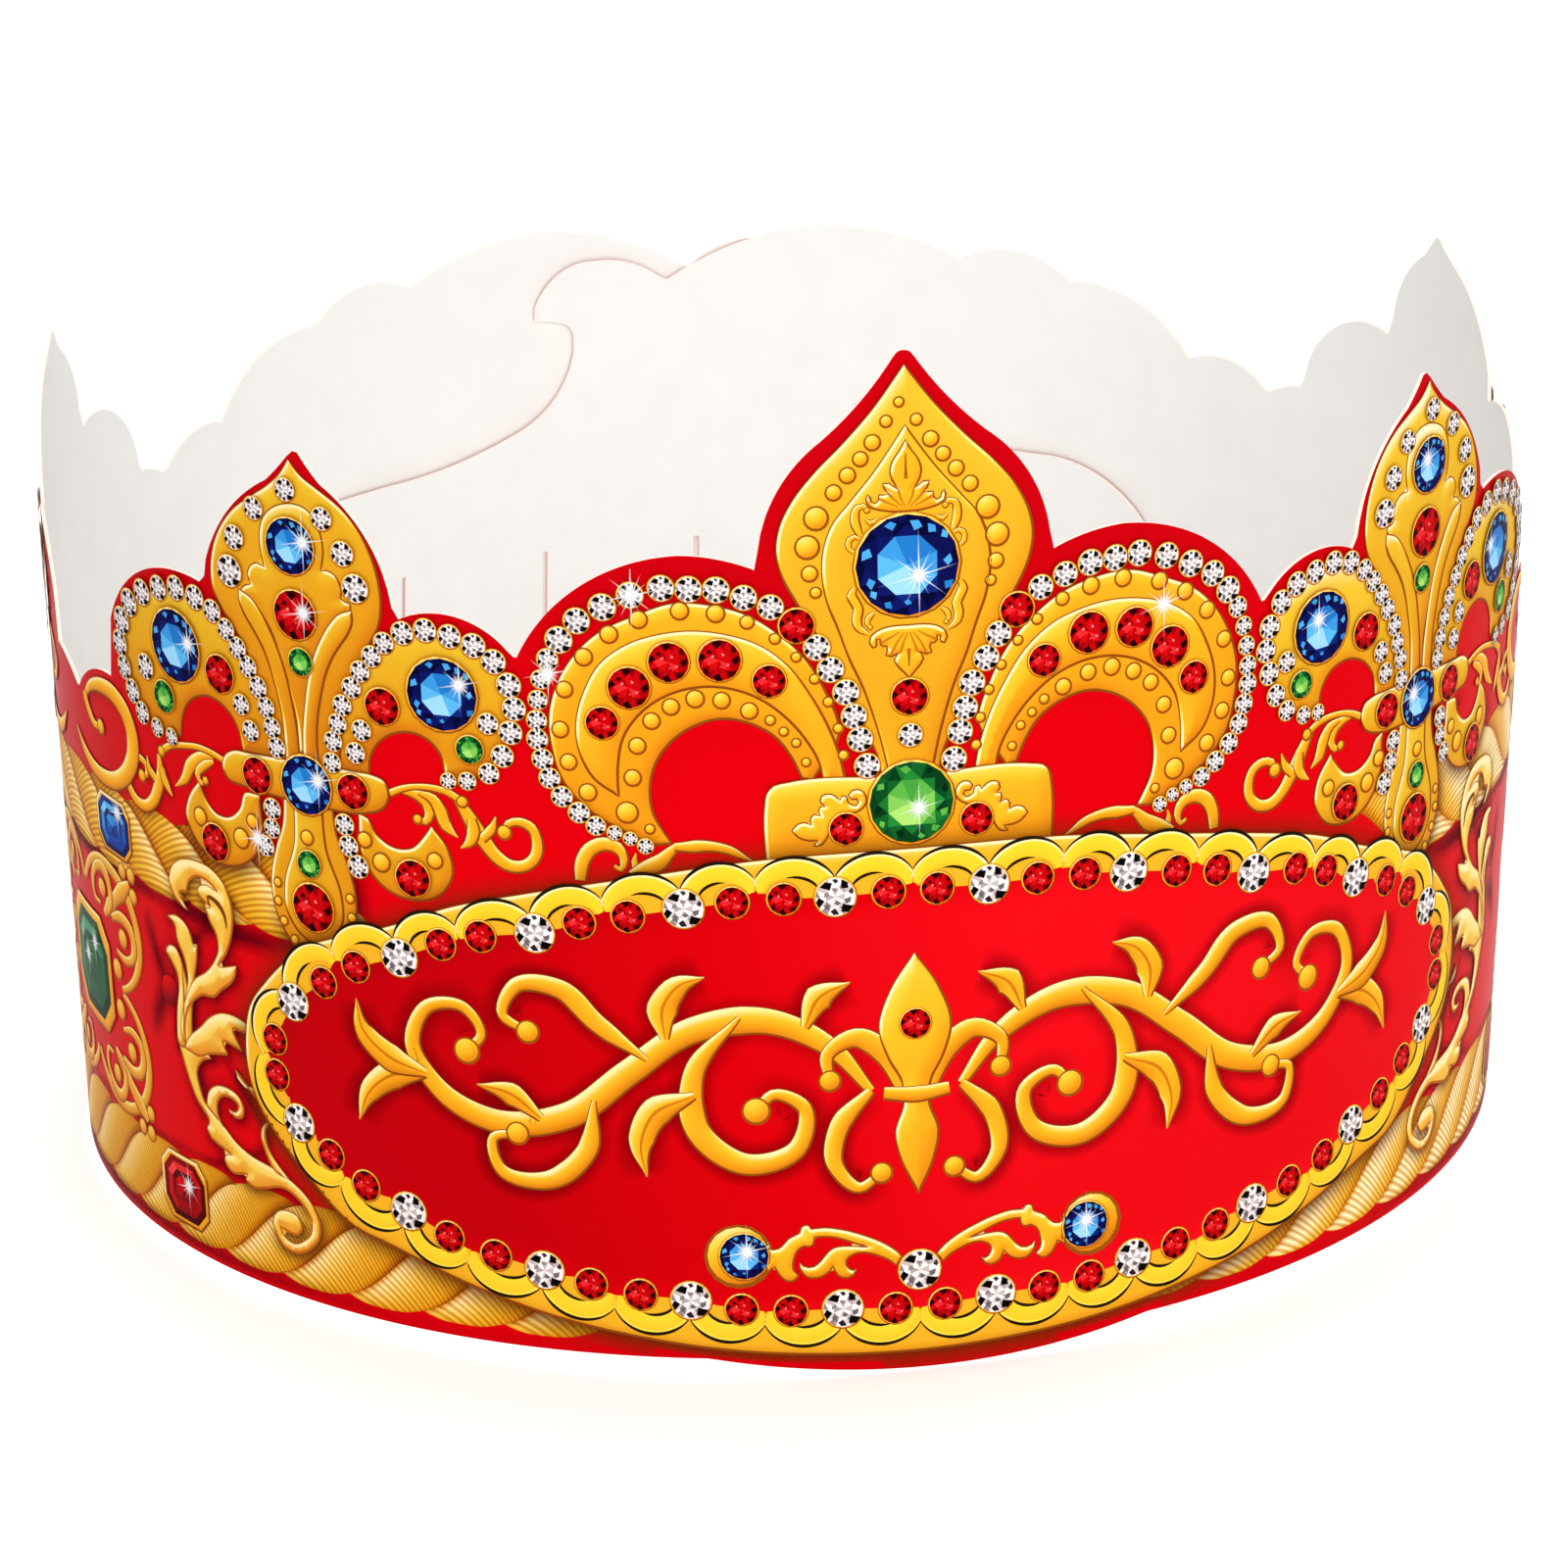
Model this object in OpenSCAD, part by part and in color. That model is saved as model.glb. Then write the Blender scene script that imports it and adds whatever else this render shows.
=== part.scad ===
// Party crown: one die-cut strip of printed card, bent into a ring and closed
// at the back by two crossed slits. Millimetres, front towards -Y, standing on
// its bottom edge with the middle of the ring at the origin.
//
// The strip is drawn flat first: s runs along the card from the middle of the
// front (plus to the wearer's left, seen from the front the right), z runs up
// from its straight bottom edge. place() then bends that drawing into the ring.

/* [Ring] */
// Radius of the card's middle line at the bottom edge
ring_r = 85.5; // [85.5:0.5:89]
// How far the front and back stand out past the round
ring_oval = 0.5; // [0:0.1:3]
// How far the ring is pushed out of round along one diagonal
ring_skew = 1; // [0:0.1:3]
// Outward lean of the wall at the front, mm in 100 mm of height
front_lean = -0.8; // [-5:0.1:5]
// Outward lean at the two sides
side_lean = 2.9; // [-5:0.1:8]
// Outward lean at the back
back_lean = -11.2; // [-16:0.1:5]
// How much more the right side leans out than the left
side_lean_difference = 2.4; // [-4:0.1:4]

/* [Card] */
// Thickness of the card
card_t = 0.4; // [0.3:0.05:0.8]
// Clear space between the two layers where the ends lap
lap_gap = 0.3; // [0.2:0.05:0.6]
// Half the length of the flat strip
strip_half = 337.5; // [336:0.5:345]
// How far the back of the left half stands above that of the right half
back_step = 1.4; // [0:0.1:3]

/* [Bottom edge] */
// Depth of the bulge below the middle of the front
bulge_drop = 2; // [0:0.1:4]
// Width of that bulge
bulge_w = 50; // [30:1:70]
// Offset of the bulge from the middle
bulge_offset = 1.8; // [-5:0.1:5]
// How far the bulge lifts the bottom edge of the front off the table
front_lift = 2; // [0:0.1:4]

/* [Closure] */
// Place of the slit in use, on the right half of the strip
slot_s = 244.2; // [242:0.1:245]
// Spacing of the slits, one for each head size
slot_pitch = 22; // [20:0.1:23]
// Number of slits on the right half
slot_count = 4; // [1:1:4]
// Height at which the slits end
slot_z = 44; // [36:0.5:46]
// Width of a slit that isn't in use
slot_w = 0.8; // [0.4:0.1:1.2]
// Width of the two slits that cross
crossing_w = 1.4; // [1.2:0.1:1.6]
// Height of the left tongue's top edge
left_tongue_z = 55.4; // [52:0.1:58]
// Height of the right tongue's top edge
right_tongue_z = 57.4; // [52:0.1:58]

/* [Hidden] */

girth = 2 * PI * ring_r;
left_slot_s = girth - slot_s; // the left slit meets the right one in the ring
lap_s = girth - strip_half; // where the laps begin
lap = (card_t + lap_gap) / 2;
lap_ramp = 16; // stretch over which a layer moves out of the middle line
crossing_run = 1; // half the stretch over which the layers change places
slot_play = 0.3; // how far each crossing slit is cut past the other's end
step_s = 184; // where the two halves begin to part in height
step_run = 18; // stretch over which they part
step_z = 81; // height at which back_step is measured

// The ring touches the table from here backwards, in degrees from the front.
touch_angle = 120;
tilt_rise = front_lift / (1 - cos(touch_angle));
tilt = atan(tilt_rise / ring_r);
tilt_base = -tilt_rise * cos(touch_angle);

// Lean as a share of the height: mean + front/back part + side part.
lean_front_back = (front_lean - back_lean) / 200;
lean_mean = ((front_lean + back_lean) / 2 + side_lean) / 200;
lean_sides = ((front_lean + back_lean) / 2 - side_lean) / 200;
lean_right = side_lean_difference / 200;

// Columns of the tables below
S = 0; // place along the strip
Z = 1; // height
BOW = 2; // how far the arc that leads here swells out from its chord
STEPS = 3; // pieces that the arc is drawn in

// Upper edge from the front tip to the end of the hook
crest = [
    [0, 113, 0, 1],
    [1, 112.5, 0.15, 1],
    [9, 103.6, -0.45, 4],
    [15.7, 92.9, 1.2, 5],
    [15.9, 89.8, 0.1, 1], // foot of the front petal
    [24.3, 91.6, 0.45, 3],
    [42, 79.8, 2.9, 8], // end of the wide lobe
    [42.5, 79.8, 0, 1],
    [56.2, 82.4, 2.7, 6],
    [56.6, 86, 0.2, 1], // foot of the second petal
    [64.4, 96.7, 1.3, 5],
    [67.1, 99.9, -0.1, 1], // its tip
    [68, 99.9, 0.1, 1],
    [71.6, 96.2, -0.1, 2],
    [81.3, 85.5, 1.3, 6],
    [81.8, 82.5, 0.1, 1],
    [101, 74.2, 3.7, 9], // side lobe
    [101.4, 66.9, 0.3, 1],
    [112.9, 62.8, 1.5, 5], // scroll
    [113.6, 62.8, 0, 1],
    [122, 65.3, 0.65, 3],
    [122.4, 69.8, 0.1, 1],
    [136.1, 77.6, 3.8, 8], // front lobe of the third petal
    [136.5, 80.8, 0.1, 1],
    [148.1, 91.8, 1.3, 6],
    [151.2, 94.1, -0.1, 1], // its tip
    [152.1, 94.1, 0.1, 1],
    [154.4, 91.3, -0.1, 1],
    [160.2, 83.2, 1.1, 5],
    [160.7, 79.5, 0.1, 1],
    [176.3, 72, 3.9, 9], // back lobe of the third petal
    [176.9, 69.8, 0.1, 1],
    [182.3, 68.3, 0.35, 2],
    [183.1, 68.3, 0, 1],
    [195.3, 71.1, 1.8, 5],
    [212.4, 79.9, 2.7, 7],
    [228, 82.4, 2.5, 7],
    [248, 87, 1, 6],
    [269.8, 80.8, 1.35, 7], // end of the long back arc
    [270.6, 80.8, 0, 1],
    [280.8, 84.1, 1, 4],
    [289.9, 78.5, 1.8, 5] // end of the hook
];

// Under side of the hook, from the root of its notch to its end
hook_under = [
    [284, 74.2, 0, 1],
    [286.2, 76.1, 0.45, 2],
    [289.9, 76.7, 0.1, 2]
];

// Sweep from the root of the notch down to the tongue and round its end
function sweep(tongue_z) = [
    [284, 71.6, 0, 1],
    [292.1, 61.7, -1.6, 5],
    [312.3, tongue_z, -1, 5],
    [321.8, tongue_z - 0.5, 0, 3],
    [334.4, tongue_z - 7.7, 1.45, 5],
    [strip_half, tongue_z - 15.3, 0.35, 2]
];

// Point at share t of the arc from a to b, which swells by bow to its left
function arc_point(a, b, bow, t) =
    let (
        chord = [b[S] - a[S], b[Z] - a[Z]],
        half = norm(chord) / 2,
        half_angle = 2 * atan(abs(bow) / half)
    )
    abs(bow) < 0.001
        ? [a[S] + t * chord[S], a[Z] + t * chord[Z]]
        : let (
            r = half / sin(half_angle),
            turn = (2 * t - 1) * half_angle,
            along = (half + r * sin(turn)) / (2 * half),
            off = sign(bow) * (r * cos(turn) - r * cos(half_angle)) / (2 * half)
        )
        [a[S] + along * chord[S] - off * chord[Z], a[Z] + along * chord[Z] + off * chord[S]];

// Points along a table of arcs
function trace(rows) = concat(
    [[rows[0][S], rows[0][Z]]],
    [
        for (i = [1:len(rows) - 1])
            for (k = [1:rows[i][STEPS]])
                arc_point(rows[i - 1], rows[i], rows[i][BOW], k / rows[i][STEPS])
    ]
);

crest_points = trace(crest);
hook_points = trace(hook_under);
left_sweep = trace(sweep(left_tongue_z));
right_sweep = trace(sweep(right_tongue_z));
notch_s = hook_under[0][S];
hook_s = hook_under[len(hook_under) - 1][S];

// Slits of each half, as [place, width]
right_slots = [for (i = [0:slot_count - 1]) [slot_s + i * slot_pitch, i == 0 ? crossing_w : slot_w]];
left_slots = [[left_slot_s, crossing_w]];

// True if s lies between the two edges of one of the slits
function in_slot(s, slots) = max([for (c = slots) abs(s - c[0]) < c[1] / 2 ? 1 : 0]) == 1;

function slot_edges(slots) = [for (c = slots) for (side = [-0.5, 0.5]) c[0] + side * c[1]];

function sorted(list) =
    len(list) < 2
        ? list
        : let (pivot = list[floor(len(list) / 2)])
        concat(
            sorted([for (v = list) if (v < pivot) v]),
            [pivot],
            sorted([for (v = list) if (v > pivot) v])
        );

// Places of the columns on one half: slit edges first, then the points of the
// edge that don't crowd them, then the ends of the change of layers
function half_columns(sweep_points, slots) =
    let (
        fixed = concat(
            slot_edges(slots),
            [slots[0][0] - crossing_run, slots[0][0] + crossing_run],
            [bulge_w / 2, notch_s, hook_s, strip_half]
        ),
        drawn = concat(
            [for (p = crest_points) if (p[S] > 0 && p[S] < hook_s) p[S]],
            [for (p = hook_points) p[S]],
            [for (p = sweep_points) if (p[S] > hook_s) p[S]]
        )
    )
    sorted(concat(fixed, [for (s = drawn) if (min([for (f = fixed) abs(f - s)]) > 0.25) s]));

columns = concat(
    [for (s = half_columns(left_sweep, left_slots)) -s],
    [0],
    half_columns(right_sweep, right_slots)
);
strip = sorted(columns);

// Bottom edge of the flat strip, with the shallow bulge at the front
function bottom_z(s) =
    let (u = (s - bulge_offset) / (bulge_w / 2))
    abs(u) < 1 ? -bulge_drop * (1 - u * u) : 0;

// Five heights of the column at s: bottom edge, end of the slits, upper side
// of the sweep, under side of the hook, upper edge
function levels(s) =
    let (
        a = abs(s),
        swept = lookup(a, s < 0 ? left_sweep : right_sweep),
        play = s < 0 ? -slot_play : slot_play,
        top = lookup(min(a, hook_s), crest_points),
        slit_end = min(slot_z + play, swept - 6)
    )
    a < notch_s
        ? [bottom_z(s), slit_end, (2 * slit_end + top) / 3, (slit_end + 2 * top) / 3, top]
        : [bottom_z(s), slit_end, swept, lookup(min(a, hook_s), hook_points), top];

// True if the strip has card between columns at s0 and s1, in this row
function has_card(s0, s1, row) =
    let (
        s = (s0 + s1) / 2,
        a = abs(s)
    )
    row == 0 ? !(s > 0 && in_slot(a, right_slots))
    : row == 1 ? !(s < 0 && in_slot(a, left_slots))
    : row == 2 ? a < notch_s
    : a < hook_s;

function smooth(t) = let (u = max(0, min(1, t))) u * u * (3 - 2 * u);

// Radial shift that keeps the two layers apart and lets them change places
function layer_shift(s) =
    let (
        a = abs(s),
        change = s < 0 ? left_slot_s : slot_s
    )
    a < lap_s
        ? lap * smooth((a - lap_s + lap_ramp) / lap_ramp)
        : lap * max(-1, min(1, (change - a) / crossing_run));

// Ring angle of the place s along the strip, in degrees from the front
function ring_angle(s) =
    let (even = s / ring_r * 180 / PI)
    even + (ring_skew * (1 - cos(2 * even)) - ring_oval * sin(2 * even)) / (2 * ring_r) * 180 / PI;

// The flat point (s, z) on the bent ring; face is -1 inside and 1 outside
function place(s, z, face) =
    let (
        angle = ring_angle(s),
        step = sign(s) * back_step / 2 * smooth((abs(s) - step_s) / step_run) * z / step_z,
        h = z - step,
        lean = lean_mean + lean_front_back * cos(angle) + lean_sides * cos(2 * angle)
            + lean_right * sin(angle),
        round_r = ring_r + ring_oval * cos(2 * angle) - ring_skew * sin(2 * angle),
        r = round_r + lean * h + layer_shift(s) + face * card_t / 2,
        x = r * sin(angle),
        y = -r * cos(angle)
    )
    [x, y * cos(tilt) + h * sin(tilt), max(0, h * cos(tilt) - y * sin(tilt) + tilt_base)];

module card_band() {
    rows = 4;
    last = len(strip) - 1;
    points = [
        for (s = strip)
            let (heights = levels(s))
            for (z = heights)
                for (face = [-1, 1])
                    place(s, z, face)
    ];
    function at(i, row, face) = (i * (rows + 1) + row) * 2 + face;
    function card(i, row) =
        i < 0 || i >= last || row < 0 || row >= rows ? false : has_card(strip[i], strip[i + 1], row);
    function quad(a, b, c, d) = [[a, b, c], [a, c, d]];
    faces = [
        for (i = [0:last - 1])
            for (row = [0:rows - 1])
                if (card(i, row))
                    for (
                        f = concat(
                            quad(at(i, row, 1), at(i, row + 1, 1), at(i + 1, row + 1, 1), at(i + 1, row, 1)),
                            quad(at(i, row, 0), at(i + 1, row, 0), at(i + 1, row + 1, 0), at(i, row + 1, 0)),
                            card(i, row - 1) ? []
                                : quad(at(i, row, 0), at(i, row, 1), at(i + 1, row, 1), at(i + 1, row, 0)),
                            card(i, row + 1) ? []
                                : quad(
                                    at(i, row + 1, 0), at(i + 1, row + 1, 0),
                                    at(i + 1, row + 1, 1), at(i, row + 1, 1)
                                ),
                            card(i - 1, row) ? []
                                : quad(at(i, row, 0), at(i, row + 1, 0), at(i, row + 1, 1), at(i, row, 1)),
                            card(i + 1, row) ? []
                                : quad(
                                    at(i + 1, row, 0), at(i + 1, row, 1),
                                    at(i + 1, row + 1, 1), at(i + 1, row + 1, 0)
                                )
                        )
                    )
                        f
    ];
    color("#D8071C") polyhedron(points, faces);
}

card_band();
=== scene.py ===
import math

import bpy
import numpy as np
from mathutils import Matrix, Vector


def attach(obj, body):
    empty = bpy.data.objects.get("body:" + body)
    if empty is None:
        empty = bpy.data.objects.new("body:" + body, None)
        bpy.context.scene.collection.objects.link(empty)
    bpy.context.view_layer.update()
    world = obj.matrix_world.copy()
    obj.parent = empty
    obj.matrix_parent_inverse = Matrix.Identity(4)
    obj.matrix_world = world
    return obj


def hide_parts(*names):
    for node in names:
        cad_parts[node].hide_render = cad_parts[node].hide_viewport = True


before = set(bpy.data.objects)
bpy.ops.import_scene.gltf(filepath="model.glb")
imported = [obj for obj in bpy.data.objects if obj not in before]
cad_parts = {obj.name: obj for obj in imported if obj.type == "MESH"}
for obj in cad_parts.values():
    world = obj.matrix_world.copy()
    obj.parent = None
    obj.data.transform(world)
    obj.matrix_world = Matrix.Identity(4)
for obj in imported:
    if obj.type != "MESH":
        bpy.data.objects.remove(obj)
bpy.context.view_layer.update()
print("frame loaded")

mm = 0.001  # the card and its print are laid out in millimetres of the flat strip

# The ring that the strip is bent into: s runs along the strip from the middle of the front,
# z up from its bottom edge. Leans are mm in 100 mm of height, outwards.
ring = {
    "radius": 85.5,
    "oval": 0.5,  # mm added at the front and back and taken off at the sides
    "skew": 1.0,
    "frontLean": -0.8,
    "sideLean": 2.9,
    "backLean": -11.2,
    "sideDifference": 2.4,  # how much further the right side leans than the left
    "cardThickness": 0.4,
    "lapGap": 0.3,  # air between the two ends where they lap
    "stripHalf": 337.5,
    "backStep": 1.4,  # how much higher the left half ends than the right one at the back
    "stepPlace": 184.0,
    "stepRun": 18.0,
    "stepHeight": 81.0,
    "bulgeDrop": 2.0,  # shallow bulge of the bottom edge at the front
    "bulgeWidth": 50.0,
    "bulgeOffset": 1.8,
    "frontLift": 2.0,  # how high the bottom edge stands at the front
}

# Slits of the right half, and the one of the left half that crosses the first of them
closure = {
    "slotPlace": 244.2,
    "slotPitch": 22.0,
    "slotCount": 4,
    "slotTop": 44.0,
    "slotWidth": 0.8,
    "crossingWidth": 1.4,  # the slits in use stand open
    "slotPlay": 0.3,  # how far each slit in use is cut past the other's end
    "underSweep": 6.0,  # card left at least between a slit and the sweep over it
    "printGap": 2.0,  # between the slit in use and the end of the printed ropes
    "leftTongue": 55.4,  # heights of the rounded ends under the hooks
    "rightTongue": 57.4,
    "lapRamp": 16.0,  # run over which the layers part before the lap
    "crossingRun": 1.0,  # and half the run over which they change places
}

girth = 2 * math.pi * ring["radius"]
leftSlot = girth - closure["slotPlace"]
lapStart = girth - ring["stripHalf"]
standAngle = math.radians(120)  # from the front, where the bottom edge touches the table
standRise = ring["frontLift"] / (1 - math.cos(standAngle))
standTilt = math.atan(standRise / ring["radius"])
standBase = -standRise * math.cos(standAngle)


# Soft step from 0 to 1: 3 t squared less 2 t cubed
def smoothStep(t):
    u = np.clip(t, 0, 1)
    return u * u * (3 - 2 * u)


# Turns directions of the upright ring by the tilt at which it stands
def tip(v):
    x, y, z = v[..., 0], v[..., 1], v[..., 2]
    cos, sin = math.cos(standTilt), math.sin(standTilt)
    return np.stack([x, y * cos + z * sin, z * cos - y * sin], -1)


# Half the gap between the two layers: outwards up to the crossing slit, inwards past it.
def layerShift(s):
    a = np.abs(s)
    half = (ring["cardThickness"] + ring["lapGap"]) / 2
    change = np.where(s < 0, leftSlot, closure["slotPlace"])
    before = smoothStep((a - lapStart + closure["lapRamp"]) / closure["lapRamp"])
    after = np.clip((change - a) / closure["crossingRun"], -1, 1)
    return half * np.where(a < lapStart, before, after)


# The flat point (s, z), lifted off the card's middle line, on the bent ring, in metres.
# Radius = round + oval and skew waves + lean times height.
def onRing(s, z, lift=0.0):
    s, z, lift = np.broadcast_arrays(*(np.asarray(v, float) for v in (s, z, lift)))
    even = s / ring["radius"]
    swing = ring["oval"] * np.sin(2 * even) + ring["skew"] * (np.cos(2 * even) - 1)
    angle = even - swing / (2 * ring["radius"])
    parting = smoothStep((np.abs(s) - ring["stepPlace"]) / ring["stepRun"])
    h = z - np.sign(s) * ring["backStep"] / 2 * parting * z / ring["stepHeight"]
    ends = ring["frontLean"] + ring["backLean"]
    lean = (ends / 2 + ring["sideLean"]) / 200
    lean = lean + (ring["frontLean"] - ring["backLean"]) / 200 * np.cos(angle)
    lean = lean + (ends / 2 - ring["sideLean"]) / 200 * np.cos(2 * angle)
    lean = lean + ring["sideDifference"] / 200 * np.sin(angle)
    r = ring["radius"] + ring["oval"] * np.cos(2 * angle) - ring["skew"] * np.sin(2 * angle)
    r = r + lean * h + layerShift(s) + lift
    points = tip(np.stack([r * np.sin(angle), -r * np.cos(angle), h], -1))
    points[..., 2] = np.maximum(points[..., 2] + standBase, 0)
    return points * mm


view = {
    "lens": 144.55,  # mm, on a 36 mm wide sensor
    "distance": 770.9,  # mm from the middle of the bottom edge
    "azimuth": 9.156,  # degrees towards the wearer's right
    "elevation": 21.61,
    "pitch": 19.04,  # how far the camera looks down
    "yaw": 0.015,
    "roll": -1.32,
}


# Unit vector at an angle round from the front and one up from the level
def towards(turn, rise):
    return np.array([math.sin(turn) * math.cos(rise), math.cos(turn) * math.cos(rise), math.sin(rise)])


def makeCamera():
    turn, rise, down, yaw, roll = (
        math.radians(view[key]) for key in ("azimuth", "elevation", "pitch", "yaw", "roll"))
    away = towards(turn, rise) * [-1, -1, 1]
    turn += yaw
    ahead = towards(turn, -down)
    level = np.cross(ahead, [0, 0, 1])
    level /= np.linalg.norm(level)
    above = np.cross(level, ahead)
    right = math.cos(roll) * level + math.sin(roll) * above
    up = math.cos(roll) * above - math.sin(roll) * level
    place = (tip(away * view["distance"]) + [0, 0, standBase]) * mm
    data = bpy.data.cameras.new("camera")
    data.lens = view["lens"]
    data.sensor_width = 36
    data.clip_start = 0.05
    data.clip_end = 50
    camera = bpy.data.objects.new("camera", data)
    axes = Matrix(np.stack([tip(right), tip(up), -tip(ahead)], -1).tolist())
    camera.matrix_world = Matrix.Translation(Vector(place.tolist())) @ axes.to_4x4()
    bpy.context.scene.collection.objects.link(camera)
    bpy.context.scene.camera = camera


makeCamera()
bpy.context.scene.view_settings.view_transform = "Standard"
print("camera set")


# sRGB hex to linear red, green and blue
def linear(hexColour):
    c = np.array([int(hexColour[i:i + 2], 16) for i in (0, 2, 4)]) / 255
    return np.where(c <= 0.04045, c / 12.92, ((c + 0.055) / 1.055) ** 2.4)


# Colour at each level, read off rows of (level, hex)
def ramp(stops, level):
    at = [row[0] for row in stops]
    colours = np.array([linear(row[1]) for row in stops])
    return np.stack([np.interp(level, at, colours[:, k]) for k in range(3)], -1)


# Adds a node, with its settings, the values of its inputs and the links into them
def addNode(tree, kind, settings=None, inputs=None):
    node = tree.nodes.new(kind)
    for key, value in (settings or {}).items():
        setattr(node, key, value)
    for key, value in (inputs or {}).items():
        if isinstance(value, bpy.types.NodeSocket):
            tree.links.new(value, node.inputs[key])
        else:
            node.inputs[key].default_value = value
    return node


def newMaterial(name):
    material = bpy.data.materials.new(name)
    material.use_nodes = True
    material.node_tree.nodes.clear()
    return material, material.node_tree


def finishMaterial(tree, shader):
    addNode(tree, "ShaderNodeOutputMaterial", inputs={"Surface": shader.outputs[0]})


# Relief of fine fibres in a surface, its depth in mm
def fibreRelief(tree, place, scale, detail, strength, depth):
    fibres = addNode(
        tree, "ShaderNodeTexNoise", inputs={
            "Vector": place.outputs["Object"], "Scale": scale, "Detail": detail})
    bump = addNode(
        tree, "ShaderNodeBump", inputs={
            "Height": fibres.outputs["Fac"], "Strength": strength, "Distance": depth * mm})
    return bump.outputs[0]


# Offset printing ink under a gloss varnish: even and saturated, with a fine screen of dots in
# the colour and a clear coat that gives soft, pale reflections along the bend of the card.
varnish = {
    "screenPitch": 0.34,  # mm between the dots of the printing screen, drawn coarser than the real 0.17
    "screenDepth": 0.10,
    "roughness": 0.32,
    "specular": 0.008,  # low: the dots of ink break the gloss up
    "fibre": 0.35,  # mm, size of the paper fibres that show in the gloss
    "yarn": 0.5,  # mm between the yarns of the printed rope
    "yarnGap": (0.7, 0.47, 0.22, 1),  # what the gaps and the backs of the yarns do to the colour
    "yarnBack": (1.15, 1.16, 1.2, 1),
}


# The colour comes from the ink attribute. With yarn it is shaded by the strand attribute too,
# and when thin the cover attribute is its opacity.
def makeInk(name, yarn=False, thin=False):
    material, tree = newMaterial(name)
    ink = addNode(tree, "ShaderNodeAttribute", {"attribute_name": "ink"})
    flat = addNode(tree, "ShaderNodeUVMap", {"uv_map": "flat"})
    turned = addNode(
        tree, "ShaderNodeMapping", inputs={
            "Vector": flat.outputs["UV"],
            "Rotation": (0, 0, math.radians(45)),
            "Scale": (1 / varnish["screenPitch"],) * 3,
        })
    cell = addNode(
        tree, "ShaderNodeTexVoronoi", {"feature": "F1"},
        {"Vector": turned.outputs[0], "Scale": 1.0, "Randomness": 0.0})
    dot = addNode(
        tree, "ShaderNodeMapRange", inputs={
            "Value": cell.outputs["Distance"], "From Min": 0.2, "From Max": 0.6,
            "To Min": 1 - varnish["screenDepth"], "To Max": 1.0})
    colour = addNode(
        tree, "ShaderNodeMix", {"data_type": "RGBA", "blend_type": "MULTIPLY"},
        {"Factor": 1.0, "A": ink.outputs["Color"], "B": dot.outputs[0]})
    colour = colour.outputs["Result"]
    if yarn:
        strand = addNode(tree, "ShaderNodeAttribute", {"attribute_name": "strand"})
        along = addNode(tree, "ShaderNodeCombineXYZ", inputs={"X": strand.outputs["Fac"]})
        # the bands of this texture lie 2 pi / 20 apart at a scale of 1
        bands = addNode(
            tree, "ShaderNodeTexWave", {"wave_type": "BANDS", "bands_direction": "X"},
            {"Vector": along.outputs[0], "Scale": math.pi * 2 / (20 * varnish["yarn"]),
             "Distortion": 2.0, "Detail": 1.0, "Detail Scale": 1.5})
        fleck = addNode(
            tree, "ShaderNodeMix", {"data_type": "RGBA"},
            {"Factor": bands.outputs["Fac"], "A": varnish["yarnGap"], "B": varnish["yarnBack"]})
        shade = addNode(
            tree, "ShaderNodeMix",
            {"data_type": "RGBA", "blend_type": "MULTIPLY", "clamp_result": True},
            {"Factor": 1.0, "A": colour, "B": fleck.outputs["Result"]})
        colour = shade.outputs["Result"]
    place = addNode(tree, "ShaderNodeTexCoord")
    relief = fibreRelief(tree, place, 1 / (varnish["fibre"] * mm), detail=2.0, strength=0.06, depth=0.02)
    shader = addNode(
        tree, "ShaderNodeBsdfPrincipled", inputs={
            "Base Color": colour, "Roughness": varnish["roughness"],
            "Specular IOR Level": varnish["specular"], "Normal": relief})
    if thin:
        cover = addNode(tree, "ShaderNodeAttribute", {"attribute_name": "cover"})
        tree.links.new(cover.outputs["Fac"], shader.inputs["Alpha"])
    finishMaterial(tree, shader)
    return material


# Bare side of the board: warm white, matt, with faint grey clouds of pulp and short fibres. It glows
# faintly, painted light that brightens it, and the cut edges are painted peach, a painted reflection of
# the red print, and glow more, so the slits and laps show as soft peach lines.
board = {
    "cloudScale": 160.0,  # clouds of pulp in a metre, about 6 mm each
    "fibreScale": 2200.0,  # fibres in a metre, about 0.5 mm each
    "roughness": 0.82,
    "specular": 0.35,
    "bare": ("F2F0ED", "EAE7E4", 0.008),  # white, grey of the pulp clouds and painted glow
    # the cut edges: peach and deeper peach, a painted reflection of the red print, and a stronger painted
    # glow
    "cut": ("FBD4C6", "F6C4B4", 0.5),
}


def makeBoard(name, white, shade, glow):
    material, tree = newMaterial(name)
    place = addNode(tree, "ShaderNodeTexCoord")
    clouds = addNode(
        tree, "ShaderNodeTexNoise", inputs={
            "Vector": place.outputs["Object"], "Scale": board["cloudScale"], "Detail": 6.0})
    tint = addNode(
        tree, "ShaderNodeMix", {"data_type": "RGBA"},
        {"Factor": clouds.outputs["Fac"], "A": (*linear(white), 1), "B": (*linear(shade), 1)})
    relief = fibreRelief(tree, place, board["fibreScale"], detail=3.0, strength=0.15, depth=0.03)
    shader = addNode(
        tree, "ShaderNodeBsdfPrincipled", inputs={
            "Base Color": tint.outputs["Result"], "Roughness": board["roughness"],
            "Specular IOR Level": board["specular"], "Emission Color": (*linear(white), 1),
            "Emission Strength": glow, "Normal": relief})
    finishMaterial(tree, shader)
    return material


varnishedInk = makeInk("offset ink under gloss varnish")
ropeInk = makeInk("offset ink, yarn of the rope", yarn=True)
thinInk = makeInk("offset ink, thin dark tint", thin=True)
bareBoard = makeBoard("bare white board with a faint painted glow", *board["bare"])
cutEdge = makeBoard("cut edge of the board with a painted peach glow", *board["cut"])
print("materials made")


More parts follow.
